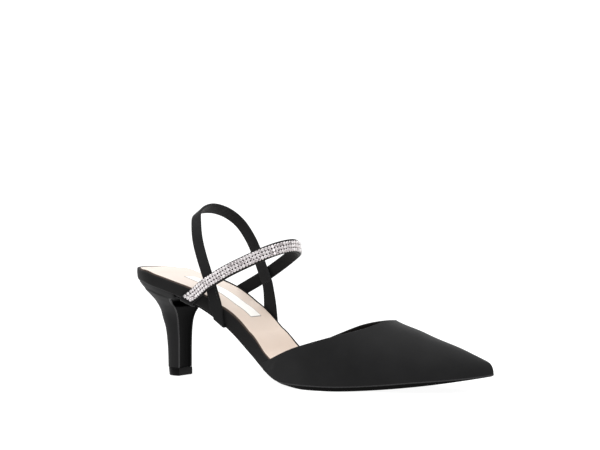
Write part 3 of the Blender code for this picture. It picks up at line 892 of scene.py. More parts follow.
def labelSpan(x):  # lateral and medial edge of the label at x
    edges = []
    for edge, reach in ((label["lateralEdge"], label["taper"]), (label["medialEdge"], label["blunt"])):
        pointed = np.clip(1 - (x - label["start"]) / reach, 0, 1)
        edges.append(edge + (label["tip"] - edge) * pointed)
    return edges


def makeLabel():
    fine, columns = label["line"], label["columns"]
    x = np.concatenate([[0, fine], np.linspace(2 * fine, label["end"] - label["start"], label["stations"])])
    x = np.concatenate([x[:-1], [x[-1] - fine, x[-1]]]) + label["start"]
    low, high = labelSpan(x)
    line = np.minimum(fine, (high - low) / 3)
    inner = np.linspace(0, 1, columns - 1)[None, :]
    middle = (low + line)[:, None] + inner * (high - low - 2 * line)[:, None]
    y = np.column_stack([low, middle, high])
    inset = last["clearance"] + sock["inset"]
    outerReach, innerReach = (halfWidth(side, x) - inset for side in (lateral, medial))
    share = (y + outerReach[:, None]) / (outerReach + innerReach)[:, None]
    surface = sockTop(x)[:, None] - sock["dip"] * np.sin(np.pi * np.clip(share, 0, 1))
    layers = []
    for rise in (0.0, label["thickness"]):
        layers.append(np.stack([np.broadcast_to(x[:, None], y.shape), y, surface + rise], 2).reshape(-1, 3))
    rows, across = y.shape
    top = rows * across
    under = gridFaces(rows, across)
    faces = under + [tuple(top + i for i in face) for face in under]
    border = np.ones((rows - 1, across - 1), int)
    border[1:-1, 1:-1] = 0
    slots = [1] * len(under) + border.ravel().tolist()
    rim = [i * across for i in range(rows)] + [(rows - 1) * across + k for k in range(1, across)]
    rim += [i * across + across - 1 for i in range(rows - 2, -1, -1)] + list(range(across - 2, 0, -1))
    for a, b in zip(rim, rim[1:] + rim[:1]):
        faces.append((a, b, b + top, a + top))
        slots.append(1)
    finishes = [plain["labelSatin"], plain["labelLine"]]
    piece = makePiece("blankLabel", np.vstack(layers), faces, finishes, slots)
    return finishPiece(piece, "sock")


makeSock()
makeLabel()
print("sock and label made")


# Outsole

def featherLift(x):  # the edge thins to almost nothing where the waist turns into the tread
    a, b, c, d = outsole["feather"]
    spare = bandTop(x) - soleLine(x) - outsole["stripHeight"] * lean(x)
    return outsole["featherShare"] * spare * smoothStep(x, a, b) * (1 - smoothStep(x, c, d))


def outsoleOutward(x):
    start = upper["rear"] - outsole["waistLead"]
    forefoot = smoothStep(x, start, start + outsole["waistBlend"])
    return forefoot * (upper["wall"] + outsole["proud"] + outsole["shankInset"]) - outsole["shankInset"]


def makeOutsole():
    stations, columns, under = board["stations"], board["columns"], outsole["underRound"]
    rings = []

    def addRing(inset, height):
        start = heel["topPosition"] - outsole["coverReach"]
        rings.append(planRing(lambda x: outsoleOutward(x) - inset, height, stations, columns, start))

    for a in np.linspace(0, math.pi / 2, outsole["roundSteps"]):
        inset = under * (1 - math.sin(a)) + outsole["tuckIn"]
        rise = under * outsole["underShare"] * (1 - math.cos(a))
        addRing(inset, lambda x: soleLine(x) + rise + featherLift(x))
    for inset, drop in outsole["edge"]:
        addRing(inset, lambda x: bandTop(x) + drop)
    addRing(outsole["topInset"], outsoleTop)
    verts, faces = loft(rings)
    # the lower edge rings take the near-black finish, made darker as painted shade
    blackShade = (outsole["roundSteps"] + outsole["blackShadeEdges"]) * len(rings[0])
    # the rings above take the lighter strip, in part a painted highlight
    slots = [0] * blackShade + [1] * (len(faces) - blackShade)
    below, above = (capGrid(ring, stations, columns) for ring in (rings[0], rings[-1]))
    verts, faces, slots = joinParts([(verts, faces, slots), (*below, 2), (*above, 0)])
    finishes = [plain[name] for name in ("soleEdgeBlackAndShade", "featherEdgeAndHighlight", "soleRubber")]
    return finishPiece(makePiece("sole", verts, faces, finishes, slots), "outsole", "outsole")


# Heel and its top piece
heel = {
    "breast": 0.0331,
    "tipLength": 0.0117,
    "tipWidth": 0.0143,
    "topPosition": 0.0385,
    "topWidth": 0.0492,
    "backInset": 0.0030,
    "roundness": 2.25,
    "topPiece": 0.0050,
    "sidePoints": 120,
    "breastPoints": 26,
    "lipSteps": 9,
    "lipRadius": 0.00055,
    "rings": 110,
    "breastHollow": 0.0004,
    "hollowPower": 0.7,
    "lipGrowth": 0.6,
    "scoop": 0.0030,
    "scoopBack": 0.0014,
    "scoopRise": (0.770, 0.845),
    "scoopEnd": (0.900, 0.918),
    "shelf": 0.0024,
    "liftBack": 0.0007,
    "liftBackFoot": 1.3,
    "liftFlat": 0.0010,
    "liftLipRadius": 0.00044,
    # inset and height of the lift's outline, going up
    "liftProfile": (
        (0.00060, 0.0000),
        (0.00030, 0.0001),
        (0.00010, 0.0003),
        (0.00000, 0.0006),
        (-0.00005, 0.0025),
        (0.00000, 0.0045),
        (0.00010, 0.0048),
        (0.00030, 0.0050),
    ),
    # share of the height, share of the way from tip to top for the back, the breast and the half width
    "body": (
        (0.000, 0.000, 0.00, 0.000),
        (0.200, 0.022, 0.00, 0.000),
        (0.330, 0.056, 0.00, 0.008),
        (0.457, 0.110, 0.00, 0.030),
        (0.586, 0.237, 0.03, 0.080),
        (0.663, 0.292, 0.09, 0.150),
        (0.770, 0.452, 0.28, 0.370),
        (0.844, 0.617, 0.52, 0.600),
        (0.900, 0.776, 0.74, 0.780),
        (0.960, 0.925, 0.92, 0.920),
        (1.000, 1.000, 1.00, 1.000),
    ),
}


def heelOutline(back, breast, half, hollow, radius):  # closed D in plan with a lip at each breast corner
    angle = np.linspace(0, np.pi, heel["sidePoints"])
    power = 2 / heel["roundness"]
    flat = breast - radius
    x = flat - (flat - back) * np.abs(np.sin(angle)) ** power
    y = -half * np.sign(np.cos(angle)) * np.abs(np.cos(angle)) ** power
    turn = np.linspace(np.pi / 2, -np.pi / 2, heel["lipSteps"])[1:]
    lip = np.stack([flat + radius * np.cos(turn), half - radius + radius * np.sin(turn)], 1)
    share = np.linspace(0, 1, heel["breastPoints"])[1:-1]
    inner = half - 2 * radius
    depth = hollow * np.sin(np.pi * share) ** heel["hollowPower"]
    panel = np.stack([flat - depth, inner - 2 * inner * share], 1)
    return np.vstack([np.stack([x, y], 1), lip, panel, (lip * (1, -1))[::-1][:-1]])


# The breast panel's near-black finish is partly painted shade.
def heelSlots(rings):  # cloth all round but for the breast panel and the lips beside it
    lip = heel["lipSteps"] - 2
    first = heel["sidePoints"] + lip
    final = first + heel["breastPoints"] - 2
    around = final + 1 + lip
    one = [0] * around
    one[first:final + 1] = [1] * (final + 1 - first)
    one[first - lip:first] = one[final + 1:final + 1 + lip] = [2] * lip
    covered = int((rings - 1) * (1 - sum(heel["scoopEnd"]) / 2))
    return one * (rings - 1 - covered) + [0] * around * covered + [0, 0]


def makeHeel():
    rows = np.array(heel["body"])
    share = np.linspace(0, 1, heel["rings"])
    ways = [monotone(rows[:, 0], rows[:, k], share) for k in (1, 2, 3)]
    tipBack = heel["breast"] - heel["tipLength"]
    low = heel["topPiece"] + last["clearance"] / 2
    rings = []
    for at, back, breast, width in zip(share, *ways):
        ended = smoothStep(at, *heel["scoopEnd"])
        scooped = smoothStep(at, *heel["scoopRise"]) * (1 - ended)
        front = heel["breast"] + breast * (heel["topPosition"] - heel["breast"])
        outline = heelOutline(
            tipBack + back * (heel["backInset"] - tipBack),
            front + heel["shelf"] * ended - heel["scoopBack"] * scooped,
            (heel["tipWidth"] + width * (heel["topWidth"] - heel["tipWidth"])) / 2,
            heel["breastHollow"] + heel["scoop"] * scooped,
            heel["lipRadius"] * (1 + heel["lipGrowth"] * scooped),
        )
        high = boardBottom(outline[:, 0])
        rings.append(np.column_stack([outline, low + at * (high - low)]))
    verts, faces = closedLoft(rings)
    # the lips' lighter, glossier finish is a painted highlight
    finishes = [cloth["heelCover"], plain["heelBreastAndShade"], plain["heelEdgeHighlight"]]
    piece = makePiece("heelCover", verts, faces, finishes, heelSlots(len(rings)))
    return finishPiece(piece, "heel_cover", "heel")


def makeTopPiece():
    breast, half = heel["breast"], heel["tipWidth"] / 2
    back, flat = breast - heel["tipLength"], breast - heel["liftFlat"]
    rings = []
    for inset, z in heel["liftProfile"]:
        outline = heelOutline(back + inset, breast - inset, half - inset, 0.0, heel["liftLipRadius"])
        x = np.where(outline[:, 0] > flat, breast - inset, outline[:, 0])
        x += heel["liftBack"] * (heel["liftBackFoot"] - z / heel["topPiece"]) * smoothStep(x, flat, back)
        rings.append(np.column_stack([x, outline[:, 1], np.full(len(x), z)]))
    piece = makePiece("heelLift", *closedLoft(rings), [plain["liftRubber"]])
    return finishPiece(piece, "top_piece", "top_piece")


makeOutsole()
makeHeel()
makeTopPiece()
print("sole and heel made")


# Vamp

def ridgeHeight(x):
    rows = np.array(upper["ridge"])
    return monotone(rows[:, 0] * last["length"], rows[:, 1] * upper["throatHeight"], x)


def ridgeSide(x):
    inside = np.clip(x, 0, last["length"])
    return (halfWidth(medial, inside) - halfWidth(lateral, inside)) / 2


def toplineHeight(side, x):
    rows = np.array(upper["topline"])
    at = upper["rear"] + rows[:, 0] * (upper["throat"] - upper["rear"])
    column = rows[:, 1] if side == lateral else rows[:, 2]
    return monotone(at, column * upper["throatHeight"], x)


def wallAt(x):  # thinner where the vamp's rear end lies on the board's side
    grown = smoothStep(x, upper["rear"], upper["rear"] + upper["rearReach"])
    return upper["rearWall"] + (upper["wall"] - upper["rearWall"]) * grown


def foldDepth(side, x, up):
    depth = np.zeros_like(x)
    for at, level, along, across, deep, slant, foldSide in upper["folds"]:
        if foldSide == side:
            run = (x - at - slant * (up - level)) / along
            depth += deep * np.exp(-0.5 * run**2 - 0.5 * ((up - level) / across) ** 2)
    return depth


def vampFeet():
    lines = [offsetSide(side, wallAt(plan[side][:, 0])) for side in (lateral, medial)]
    span = upper["throat"] - upper["rear"]
    behind = upper["throat"] - span * np.linspace(1, 0, upper["rearRibs"]) ** upper["crowding"]
    front = pairedStations(lines, upper["throat"], lines[0][-1, 0], upper["frontRibs"])
    feet = {}
    for side, line, ahead in zip((lateral, medial), lines, front):
        rear = np.stack([behind, np.interp(behind, line[:, 0], line[:, 1])], 1)
        feet[side] = np.vstack([rear, ahead[1:]])
    return feet


def vampRib(side, foot):
    x, y = foot
    lift = upper["rearLift"] * (1 - smoothStep(x, upper["rear"], upper["rear"] + upper["rearLiftReach"]))
    low = bandTop(x) - upper["footSink"] + lift
    ahead = np.clip((x - upper["throat"]) / (last["length"] + upper["wall"] - upper["throat"]), 0, 1)
    topX = x - upper["toeSetback"] * ahead**3
    top = np.array([topX, ridgeSide(topX), ridgeHeight(topX)])
    power = 2 / upper["roundness"]
    share = 1.0
    if x < upper["throat"]:
        faded = smoothStep(x, upper["throat"] - upper["rollFade"], upper["throat"])
        share = (toplineHeight(side, x) - upper["rollRise"] * (1 - faded) - low) / (top[2] - low)
        share = np.clip(share, upper["leastShare"], 1)
    angle = np.linspace(0, np.arcsin(share ** (1 / power)), upper["rows"] + 1)
    across = np.abs(np.cos(angle)) ** power
    if share == 1.0:
        across[-1] = 0
    rise = np.sin(angle) ** power
    along = topX + (x - topX) * across
    reach = last["slopeReach"]
    slope = (ridgeHeight(topX + reach) - ridgeHeight(topX - reach)) / (2 * reach)
    height = low + (top[2] - low) * rise + slope * (along - topX) * rise ** upper["toeTangent"]
    return np.stack([trimmed(along), top[1] + (y - top[1]) * across, height], 1)


def meshNormals(verts, faces, facing):  # smooth normals of an open sheet, welded where its halves meet
    mesh = bpy.data.meshes.new("scratch")
    mesh.from_pydata(verts.tolist(), [], faces)
    work = bmesh.new()
    work.from_mesh(mesh)
    bmesh.ops.remove_doubles(work, verts=work.verts, dist=weldDistance)
    bmesh.ops.recalc_face_normals(work, faces=work.faces)
    work.verts.ensure_lookup_table()
    tree = kdtree.KDTree(len(work.verts))
    for vert in work.verts:
        tree.insert(vert.co, vert.index)
    tree.balance()
    normals = np.array([work.verts[tree.find(v)[1]].normal for v in verts])
    work.free()
    bpy.data.meshes.remove(mesh)
    return normals if (normals * (verts - facing)).sum() > 0 else -normals


def makeVamp():
    rows, throat = upper["rows"], upper["rearRibs"] - 1
    grids = {side: np.array([vampRib(side, foot) for foot in feet]) for side, feet in vampFeet().items()}
    ribs = len(grids[lateral])
    outer = np.vstack([grids[side].reshape(-1, 3) for side in (lateral, medial)])

    def index(side, i, j):
        return (0 if side == lateral else ribs * (rows + 1)) + i * (rows + 1) + j

    faces = []
    for side in (lateral, medial):
        for i in range(ribs - 1):
            for j in range(rows):
                corners = ((i, j), (i + 1, j), (i + 1, j + 1), (i, j + 1))
                faces.append(tuple(index(side, *corner) for corner in corners))
    normals = meshNormals(outer, faces, np.array([upper["throat"], 0, 0]))
    up = np.tile(np.linspace(0, 1, rows + 1), 2 * ribs)
    sides = np.repeat([lateral, medial], ribs * (rows + 1))
    folds = [foldDepth(side, outer[:, 0], up) for side in (lateral, medial)]
    depth = np.where(sides == lateral, *folds)
    thick = wallAt(outer[:, 0])[:, None]
    inner = outer - normals * thick
    outer = outer - normals * (depth * np.sin(np.pi * up) ** 0.5)[:, None]
    count = len(outer)
    edge = [index(lateral, i, rows) for i in range(throat + 1)]
    edge += [index(medial, i, rows) for i in range(throat - 1, -1, -1)]
    below = [index(lateral, i, rows - 1) for i in range(throat)] + [index(lateral, throat + 1, rows)]
    below += [index(medial, i, rows - 1) for i in range(throat - 1, -1, -1)]
    foot = [index(lateral, i, 0) for i in range(ribs)]
    foot += [index(medial, i, 0) for i in range(ribs - 1, -1, -1)]
    verts = [outer, inner]
    slots = [0] * len(faces) + [1] * len(faces)
    faces = faces + [tuple(count + i for i in face) for face in faces]
    base = 2 * count
    turns = np.linspace(0, math.pi, upper["rollSteps"] + 1)[1:-1]
    above = [i + 1 for i in foot]
    allRuns = []
    for line, nextLine, rise in ((edge, below, upper["rollRise"]), (foot, above, last["clearance"])):
        points, out = outer[line], normals[line]
        along = np.gradient(points, axis=0)
        away = unit(np.cross(along, out))
        away *= np.sign(((points - outer[nextLine]) * away).sum(1))[:, None]
        runs = [line]
        for turn in turns:
            inward = out * thick[line] / 2 * (math.cos(turn) - 1)
            verts.append(points + inward + away * rise * math.sin(turn))
            runs.append(list(range(base, base + len(line))))
            base += len(line)
        runs.append([count + i for i in line])
        for a, b in zip(runs, runs[1:]):
            for i in range(len(line) - 1):
                faces.append((a[i], a[i + 1], b[i + 1], b[i]))
                slots.append(0)
        allRuns.append(runs)
    edgeRuns, footRuns = allRuns
    for end, side in ((0, lateral), (-1, medial)):
        rib = [index(side, 0, j) for j in range(rows + 1)]
        ring = rib + [run[end] for run in edgeRuns[1:-1]] + [count + i for i in rib[::-1]]
        ring += [run[end] for run in footRuns[1:-1]][::-1]
        faces.append(tuple(ring))
        slots.append(0)
    piece = makePiece("vamp", np.vstack(verts), faces, [cloth["upper"], liningDark], slots)
    return finishPiece(piece, "upper", "upper")


makeVamp()
print("vamp made")


# What is set in rows: stones on the ankle strap, stitches on the tabs
stones = {
    "rows": 3,
    "pitch": 0.00200,
    "rowPitch": 0.00212,
    "width": 0.00198,
    "spread": 1.06,
    "depth": 0.0009,
    "bandWidth": 0.0066,
    "bandThickness": 0.00055,
    "bandGap": 0.0001,
    "seed": 7,
    "turn": 0.10,
    "startInset": 0.0008,
    "cut": 0.56,
    "claw": 0.16,
    # share of the half width, share of the depth, going up
    "stoneTiers": ((0.99, 0.0), (1.0, 0.40), (0.88, 0.68), (0.62, 0.90)),
    "cupTiers": ((1.0, 0.0), (1.0, 0.34), (0.90, 0.42)),
}

stitches = {
    "pitch": 0.0016,
    "length": 0.0075,
    "fromTop": 0.0012,
    "margin": 0.0009,
    "lift": 0.00006,
    "thread": 0.00018,
    "seed": 3,
    "halfShare": 0.40,
    "sides": 6,
    # share of the half stitch, share of the thread's thickness, lift in thicknesses
    "stations": (
        (-1.0, 0.35, -1.2),
        (-0.7, 0.9, -0.2),
        (0.0, 1.0, 0.25),
        (0.7, 0.9, -0.2),
        (1.0, 0.35, -1.2),
    ),
}


def unitMesh(name, rings):
    verts, faces = closedLoft(rings)
    mesh = bpy.data.meshes.new(name)
    mesh.from_pydata(verts.tolist(), [], faces)
    work = bmesh.new()
    work.from_mesh(mesh)
    bmesh.ops.recalc_face_normals(work, faces=work.faces)
    work.to_mesh(mesh)
    work.free()
    return mesh


def unitStitch():  # one short thread, sunk at both ends
    half, thick = stitches["pitch"] * stitches["halfShare"], stitches["thread"]
    turn = np.arange(stitches["sides"]) * 2 * np.pi / stitches["sides"]
    rings = []
    for along, scale, lift in stitches["stations"]:
        x = np.full(len(turn), half * along)
        rings.append(np.stack([x, thick * scale * np.cos(turn), thick * (scale * np.sin(turn) + lift)], 1))
    return unitMesh("unitStitch", rings)


def tieredShape(name, corners, tiers):
    half = stones["width"] / 2
    rings = []
    for scale, lift in tiers:
        x, y = half * scale * np.array(corners).T
        rings.append(np.stack([x, y * stones["spread"], np.full(len(x), stones["depth"] * lift)], 1))
    return unitMesh(name, rings)


def unitStone():  # square cushion with cut corners, two tiers of facets and a flat table
    cut = stones["cut"]
    corners = ((1, 1 - cut), (1 - cut, 1), (cut - 1, 1), (-1, 1 - cut))
    corners += tuple((-x, -y) for x, y in corners)
    return tieredShape("unitStone", corners, stones["stoneTiers"])


def unitCup():  # dark seat under one stone, its four claws showing where the stones' corners are cut
    inward = 1 - 2 * stones["claw"]
    corners = []
    for sx, sy in ((1, 1), (-1, 1), (-1, -1), (1, -1)):
        three = ((sx, sy * inward), (sx, sy), (sx * inward, sy))
        corners += three if sx * sy > 0 else three[::-1]
    return tieredShape("unitCup", corners, stones["cupTiers"])


rowInputs = {
    "Pitch": "NodeSocketFloat",
    "Row pitch": "NodeSocketFloat",
    "Rows": "NodeSocketInt",
    "Turn": "NodeSocketFloat",
    "Seed": "NodeSocketInt",
    "Shape": "NodeSocketObject",
    "Finish": "NodeSocketMaterial",
}


def rowTree(name):  # sets one shape in rows along a guide line that carries its own directions
    tree = bpy.data.node_groups.new(name, "GeometryNodeTree")
    face = tree.interface
    face.new_socket("Geometry", in_out="INPUT", socket_type="NodeSocketGeometry")
    sockets = {}
    for title, kind in rowInputs.items():
        sockets[title] = face.new_socket(title, in_out="INPUT", socket_type=kind).identifier
    face.new_socket("Geometry", in_out="OUTPUT", socket_type="NodeSocketGeometry")
    given = tree.nodes.new("NodeGroupInput").outputs

    def made(kind, inputs, output="Geometry", **settings):
        return addNode(tree, kind, inputs, **settings).outputs[output]

    def named(attribute):
        inputs = {"Name": attribute}
        return made("GeometryNodeInputNamedAttribute", inputs, "Attribute", data_type="FLOAT_VECTOR")

    def maths(operation, a, b):
        return made("ShaderNodeMath", {0: a, 1: b}, 0, operation=operation)

    curve = made("GeometryNodeMeshToCurve", {"Mesh": given["Geometry"]}, "Curve")
    lengths = {"Curve": curve, "Length": given["Pitch"]}
    spaced = made("GeometryNodeResampleCurve", lengths, "Curve", mode="LENGTH")
    points = made("GeometryNodeCurveToPoints", {"Curve": spaced}, "Points", mode="EVALUATED")
    repeats = {"Geometry": points, "Amount": given["Rows"]}
    copies = addNode(tree, "GeometryNodeDuplicateElements", repeats, domain="POINT").outputs
    middle = maths("DIVIDE", maths("SUBTRACT", given["Rows"], 1.0), 2.0)
    step = maths("MULTIPLY", maths("SUBTRACT", copies["Duplicate Index"], middle), given["Row pitch"])
    offset = made("ShaderNodeVectorMath", {0: named("across"), "Scale": step}, 0, operation="SCALE")
    moved = made("GeometryNodeSetPosition", {"Geometry": copies["Geometry"], "Offset": offset})
    axes = {"Primary Axis": named("outward"), "Secondary Axis": named("forward")}
    facing = made("FunctionNodeAxesToRotation", axes, "Rotation", primary_axis="Z", secondary_axis="X")
    turns = {2: maths("MULTIPLY", given["Turn"], -1.0), 3: given["Turn"], "Seed": given["Seed"]}
    angle = made("FunctionNodeRandomValue", turns, 1, data_type="FLOAT")
    angles = made("ShaderNodeCombineXYZ", {"Z": angle}, "Vector")
    jitter = made("FunctionNodeEulerToRotation", {"Euler": angles}, "Rotation")
    both = {"Rotation": facing, "Rotate By": jitter}
    turned = made("FunctionNodeRotateRotation", both, "Rotation", rotation_space="LOCAL")
    shape = made("GeometryNodeObjectInfo", {"Object": given["Shape"]})
    seated = {"Points": moved, "Instance": shape, "Rotation": turned}
    placed = made("GeometryNodeInstanceOnPoints", seated, "Instances")
    real = made("GeometryNodeRealizeInstances", {"Geometry": placed})
    tone = made("FunctionNodeRandomValue", {"Seed": given["Seed"]}, 1, data_type="FLOAT")
    facets = {"Geometry": real, "Name": "facet", "Value": tone}
    stored = made("GeometryNodeStoreNamedAttribute", facets, data_type="FLOAT", domain="FACE")
    painted = made("GeometryNodeSetMaterial", {"Geometry": stored, "Material": given["Finish"]})
    addNode(tree, "NodeGroupOutput", {"Geometry": painted})
    return tree, sockets


rowsTree, rowSockets = rowTree("rowsAlongLine")


def setInRows(name, guide, unitShape, finish, sizes):  # sizes: pitch, row pitch, rows, turn, seed
    points, across, outward, forward = guide
    line = bpy.data.meshes.new(name + "Guide")
    line.from_pydata((points + place).tolist(), [(i, i + 1) for i in range(len(points) - 1)], [])
    for attribute, vectors in (("across", across), ("outward", outward), ("forward", forward)):
        layer = line.attributes.new(attribute, "FLOAT_VECTOR", "POINT")
        layer.data.foreach_set("vector", np.asarray(vectors, np.float32).ravel())
    guideObject = bpy.data.objects.new(name + "Guide", line)
    unitObject = bpy.data.objects.new(name + "Unit", unitShape)
    for obj in (guideObject, unitObject):
        bpy.context.scene.collection.objects.link(obj)
    modifier = guideObject.modifiers.new("rows", "NODES")
    modifier.node_group = rowsTree
    for title, value in zip(rowInputs, (*sizes, unitObject, finish)):
        modifier[rowSockets[title]] = value
    graph = bpy.context.evaluated_depsgraph_get()
    mesh = bpy.data.meshes.new_from_object(guideObject.evaluated_get(graph))
    mesh.name = name
    piece = bpy.data.objects.new(name, mesh)
    bpy.context.scene.collection.objects.link(piece)
    for obj in (guideObject, unitObject):
        bpy.data.objects.remove(obj)
    return piece


# Straps
straps = {
    "slingWidth": 0.0074,
    "slingThickness": 0.0014,
    "slingTop": 0.1036,
    "tabWidth": 0.0077,
    "tabThickness": 0.0014,
    "tabTopShare": 0.98,
    "tabSwell": 0.20,
    "tabFootShare": 0.74,
    "tabEase": 0.0002,
    "ankleWidth": 0.0079,
    "ankleThickness": 0.0016,
    "ankleFrontHeight": 0.0814,
    "ankleReach": 0.1105,
    "tuck": 0.0022,
    "wallEase": 0.0007,
    "runSteps": 14,
    "wrapSteps": 12,
    "wallSteps": 10,
    "tuckSteps": 3,
    "sideSteps": 7,
    "flatSteps": 9,
    "sideRound": 0.7,
    "crown": 0.0001,
    "seamStep": 0.02,
    # spacing along the strap, and how far its kinks are eased
    "slingEven": (0.0008, 0.0012),
    "tabEven": (0.0006, 0.0006),
    "ankleEven": (0.0008, 0.0009),
    "lateralTab": (0.304, 0.294),
    "medialTab": (0.350, 0.343),
    "lateralAnchor": (0.215, 0.241),
    "medialAnchor": (0.215, 0.240),
    # centre as shares of the length, the ball width and the sling's top, then the lean of its width
    "sling": (
        (0.2828, -0.337, 0.557, 1.00, 0.15),
        (0.2716, -0.356, 0.644, 1.00, 0.22),
        (0.2604, -0.369, 0.731, 1.00, 0.25),
        (0.2481, -0.361, 0.817, 1.00, 0.30),
        (0.2349, -0.315, 0.904, 0.95, 0.40),
        (0.2217, -0.235, 0.970, 0.85, 0.55),
        (0.2166, 0.000, 1.002, 0.65, 0.80),
        (0.2258, 0.222, 0.972, 0.75, 0.70),
        (0.2441, 0.330, 0.911, 0.88, 0.52),
        (0.2665, 0.376, 0.820, 1.00, 0.40),
        (0.2869, 0.376, 0.731, 1.00, 0.40),
        (0.3062, 0.356, 0.644, 1.00, 0.40),
        (0.3256, 0.337, 0.557, 1.00, 0.35),
    ),
    # centre as shares of the reach, the ball width and the front height, then the lean of its width
    "ankle": (
        (0.611, -0.385, 0.725, -0.55, 0.85),
        (0.738, -0.379, 0.816, -0.50, 0.87),
        (0.846, -0.333, 0.888, -0.40, 0.92),
        (0.937, -0.243, 0.953, -0.20, 1.00),
        (0.984, -0.126, 0.988, -0.05, 1.00),
        (1.000, 0.000, 1.000, 0.05, 1.00),
        (0.986, 0.126, 0.987, -0.05, 1.00),
        (0.939, 0.243, 0.957, -0.20, 1.00),
        (0.851, 0.333, 0.900, -0.40, 0.92),
        (0.747, 0.379, 0.821, -0.50, 0.87),
        (0.629, 0.385, 0.726, -0.55, 0.85),
    ),
}


def anchorRun(side, shares, width, thickness, ease, footShare=1.0):  # from under the board up its side
    lowX, highX = (share * last["length"] for share in shares)
    clear = ease + thickness / 2
    low, high = boardBottom(lowX), boardTop(highX)
    reach = last["slopeReach"]
    edge = unit(np.array([2 * reach, 0, boardBottom(lowX + reach) - boardBottom(lowX - reach)]))
    path = unit(np.array([highX - lowX, 0, high - low]))
    sheared = footShare * width / np.linalg.norm(np.cross(path, edge))
    below = np.array([edge[2], 0, -edge[0]])
    wallLow = halfWidth(side, lowX)
    centres, widths = [], []
    for inward in np.linspace(straps["tuck"], 0, straps["tuckSteps"], endpoint=False):
        centres.append(np.array([lowX, side * (wallLow - inward), low]) + below * clear)
        widths.append(edge * sheared)
    for angle in np.linspace(0, np.pi / 2, straps["wrapSteps"]):
        offset = below * clear * np.cos(angle) + np.array([0, side * clear * np.sin(angle), 0])
        centres.append(np.array([lowX, side * wallLow, low]) + offset)
        widths.append(edge * sheared)
    square = np.cross(np.array([0, 1, 0]), path)
    square *= np.sign(edge @ square)
    first = 1 / straps["wallSteps"]
    for share in np.linspace(first, 1, straps["wallSteps"]):
        x = lowX + share * (highX - lowX)
        centres.append(np.array([x, side * (halfWidth(side, x) + clear), low + share * (high - low)]))
        turned = smoothStep(share, first, 1.0)
        widths.append(edge * sheared * (1 - turned) + square * width * turned)
    return np.array(centres), np.array(widths)


def freeRun(rows, sizes, width):
    rows = np.array(rows)
    centres = splineThrough(rows[:, :3] * np.array(sizes), straps["runSteps"])
    at = np.linspace(0, len(rows) - 1, len(centres))
    leanX, leanZ = (np.interp(at, np.arange(len(rows)), rows[:, k]) for k in (3, 4))
    along = unit(np.gradient(centres, axis=0))
    widths = np.column_stack([leanX, np.zeros(len(at)), leanZ])
    widths -= np.sum(widths * along, axis=1)[:, None] * along
    return centres, unit(widths) * width


def evenRun(centres, widths, spacing, soften):  # respaced, with its small kinks eased
    at = lengthsAlong(centres)
    count = int(at[-1] / spacing) + 1
    spread = np.linspace(0, at[-1], count)
    both = np.hstack([centres, widths])
    both = np.stack([np.interp(spread, at, both[:, k]) for k in range(6)], 1)
    both = softened(both, at[-1] / (count - 1), soften)
    sizes = np.interp(spread, at, np.linalg.norm(widths, axis=1))
    return both[:, :3], unit(both[:, 3:]) * sizes[:, None]


def stripNormals(centres, widths):
    along = unit(np.gradient(centres, axis=0))
    return unit(np.cross(along, widths)), along


def ribbonPiece(name, centres, widths, thickness, material, outward=0.0, crown=0.0):
    normals, _ = stripNormals(centres, widths)
    deep = thickness / 2
    bulge = deep * straps["sideRound"]
    turn = np.linspace(-math.pi / 2, math.pi / 2, straps["sideSteps"])
    flat = np.linspace(-1, 1, straps["flatSteps"])[1:-1]
    rings, uv = [], []
    for centre, width, normal, at in zip(centres, widths, normals, lengthsAlong(centres)):
        half = np.linalg.norm(width) / 2
        body = half - bulge
        section = [(body + bulge * math.cos(a), deep * math.sin(a)) for a in turn]
        section += [(-body * u, deep + crown * (1 - u * u)) for u in flat]
        section += [(-body - bulge * math.cos(a), -deep * math.sin(a)) for a in turn]
        section += [(body * u, -deep) for u in flat]
        across = width / (2 * half)
        rings.append(np.array([centre + across * u + normal * (outward + v) for u, v in section]))
        uv.extend((at, u + (straps["seamStep"] if v < 0 else 0)) for u, v in section)
    return makePiece(name, *closedLoft(rings), [material], uv=uv)


def slingSizes():
    return np.array([last["length"], last["ballWidth"], straps["slingTop"]])


def makeSling():
    centres, widths = freeRun(straps["sling"], slingSizes(), straps["slingWidth"])
    centres, widths = evenRun(centres, widths, *straps["slingEven"])
    piece = ribbonPiece(
        "slingStrap", centres, widths, straps["slingThickness"], tape["slingTape"], crown=straps["crown"]
    )
    return finishPiece(piece, "sling_elastic", "sling_strap")


def tabRun(side, shares, row, nextRow):
    width = straps["tabWidth"]
    foot = straps["tabFootShare"] if side == lateral else 1.0
    centres, widths = anchorRun(side, shares, width, straps["tabThickness"], straps["tabEase"], foot)
    end, beyond = np.array(row[:3]) * slingSizes(), np.array(nextRow[:3]) * slingSizes()
    away = unit(beyond - end)
    top = end - away * last["clearance"]
    steps = straps["runSteps"]
    rise = splineThrough([centres[-2], centres[-1], top, beyond], steps)[steps : 2 * steps + 1]
    leanVector = np.array([row[3], 0, row[4]])
    leanVector = unit(leanVector - (leanVector @ away) * away) * width
    leanVector *= np.sign(leanVector @ widths[-1])
    turned = np.linspace(0, 1, len(rise))[1:, None]
    centres = np.vstack([centres, rise[1:]])
    widths = np.vstack([widths, widths[-1] * (1 - turned) + leanVector * turned])
    centres, widths = evenRun(centres, widths, *straps["tabEven"])
    share = np.linspace(0, 1, len(widths))[:, None]
    swell = straps["tabSwell"] * np.sin(np.pi * share) ** 2
    return centres, widths * (1 - (1 - straps["tabTopShare"]) * share + swell)


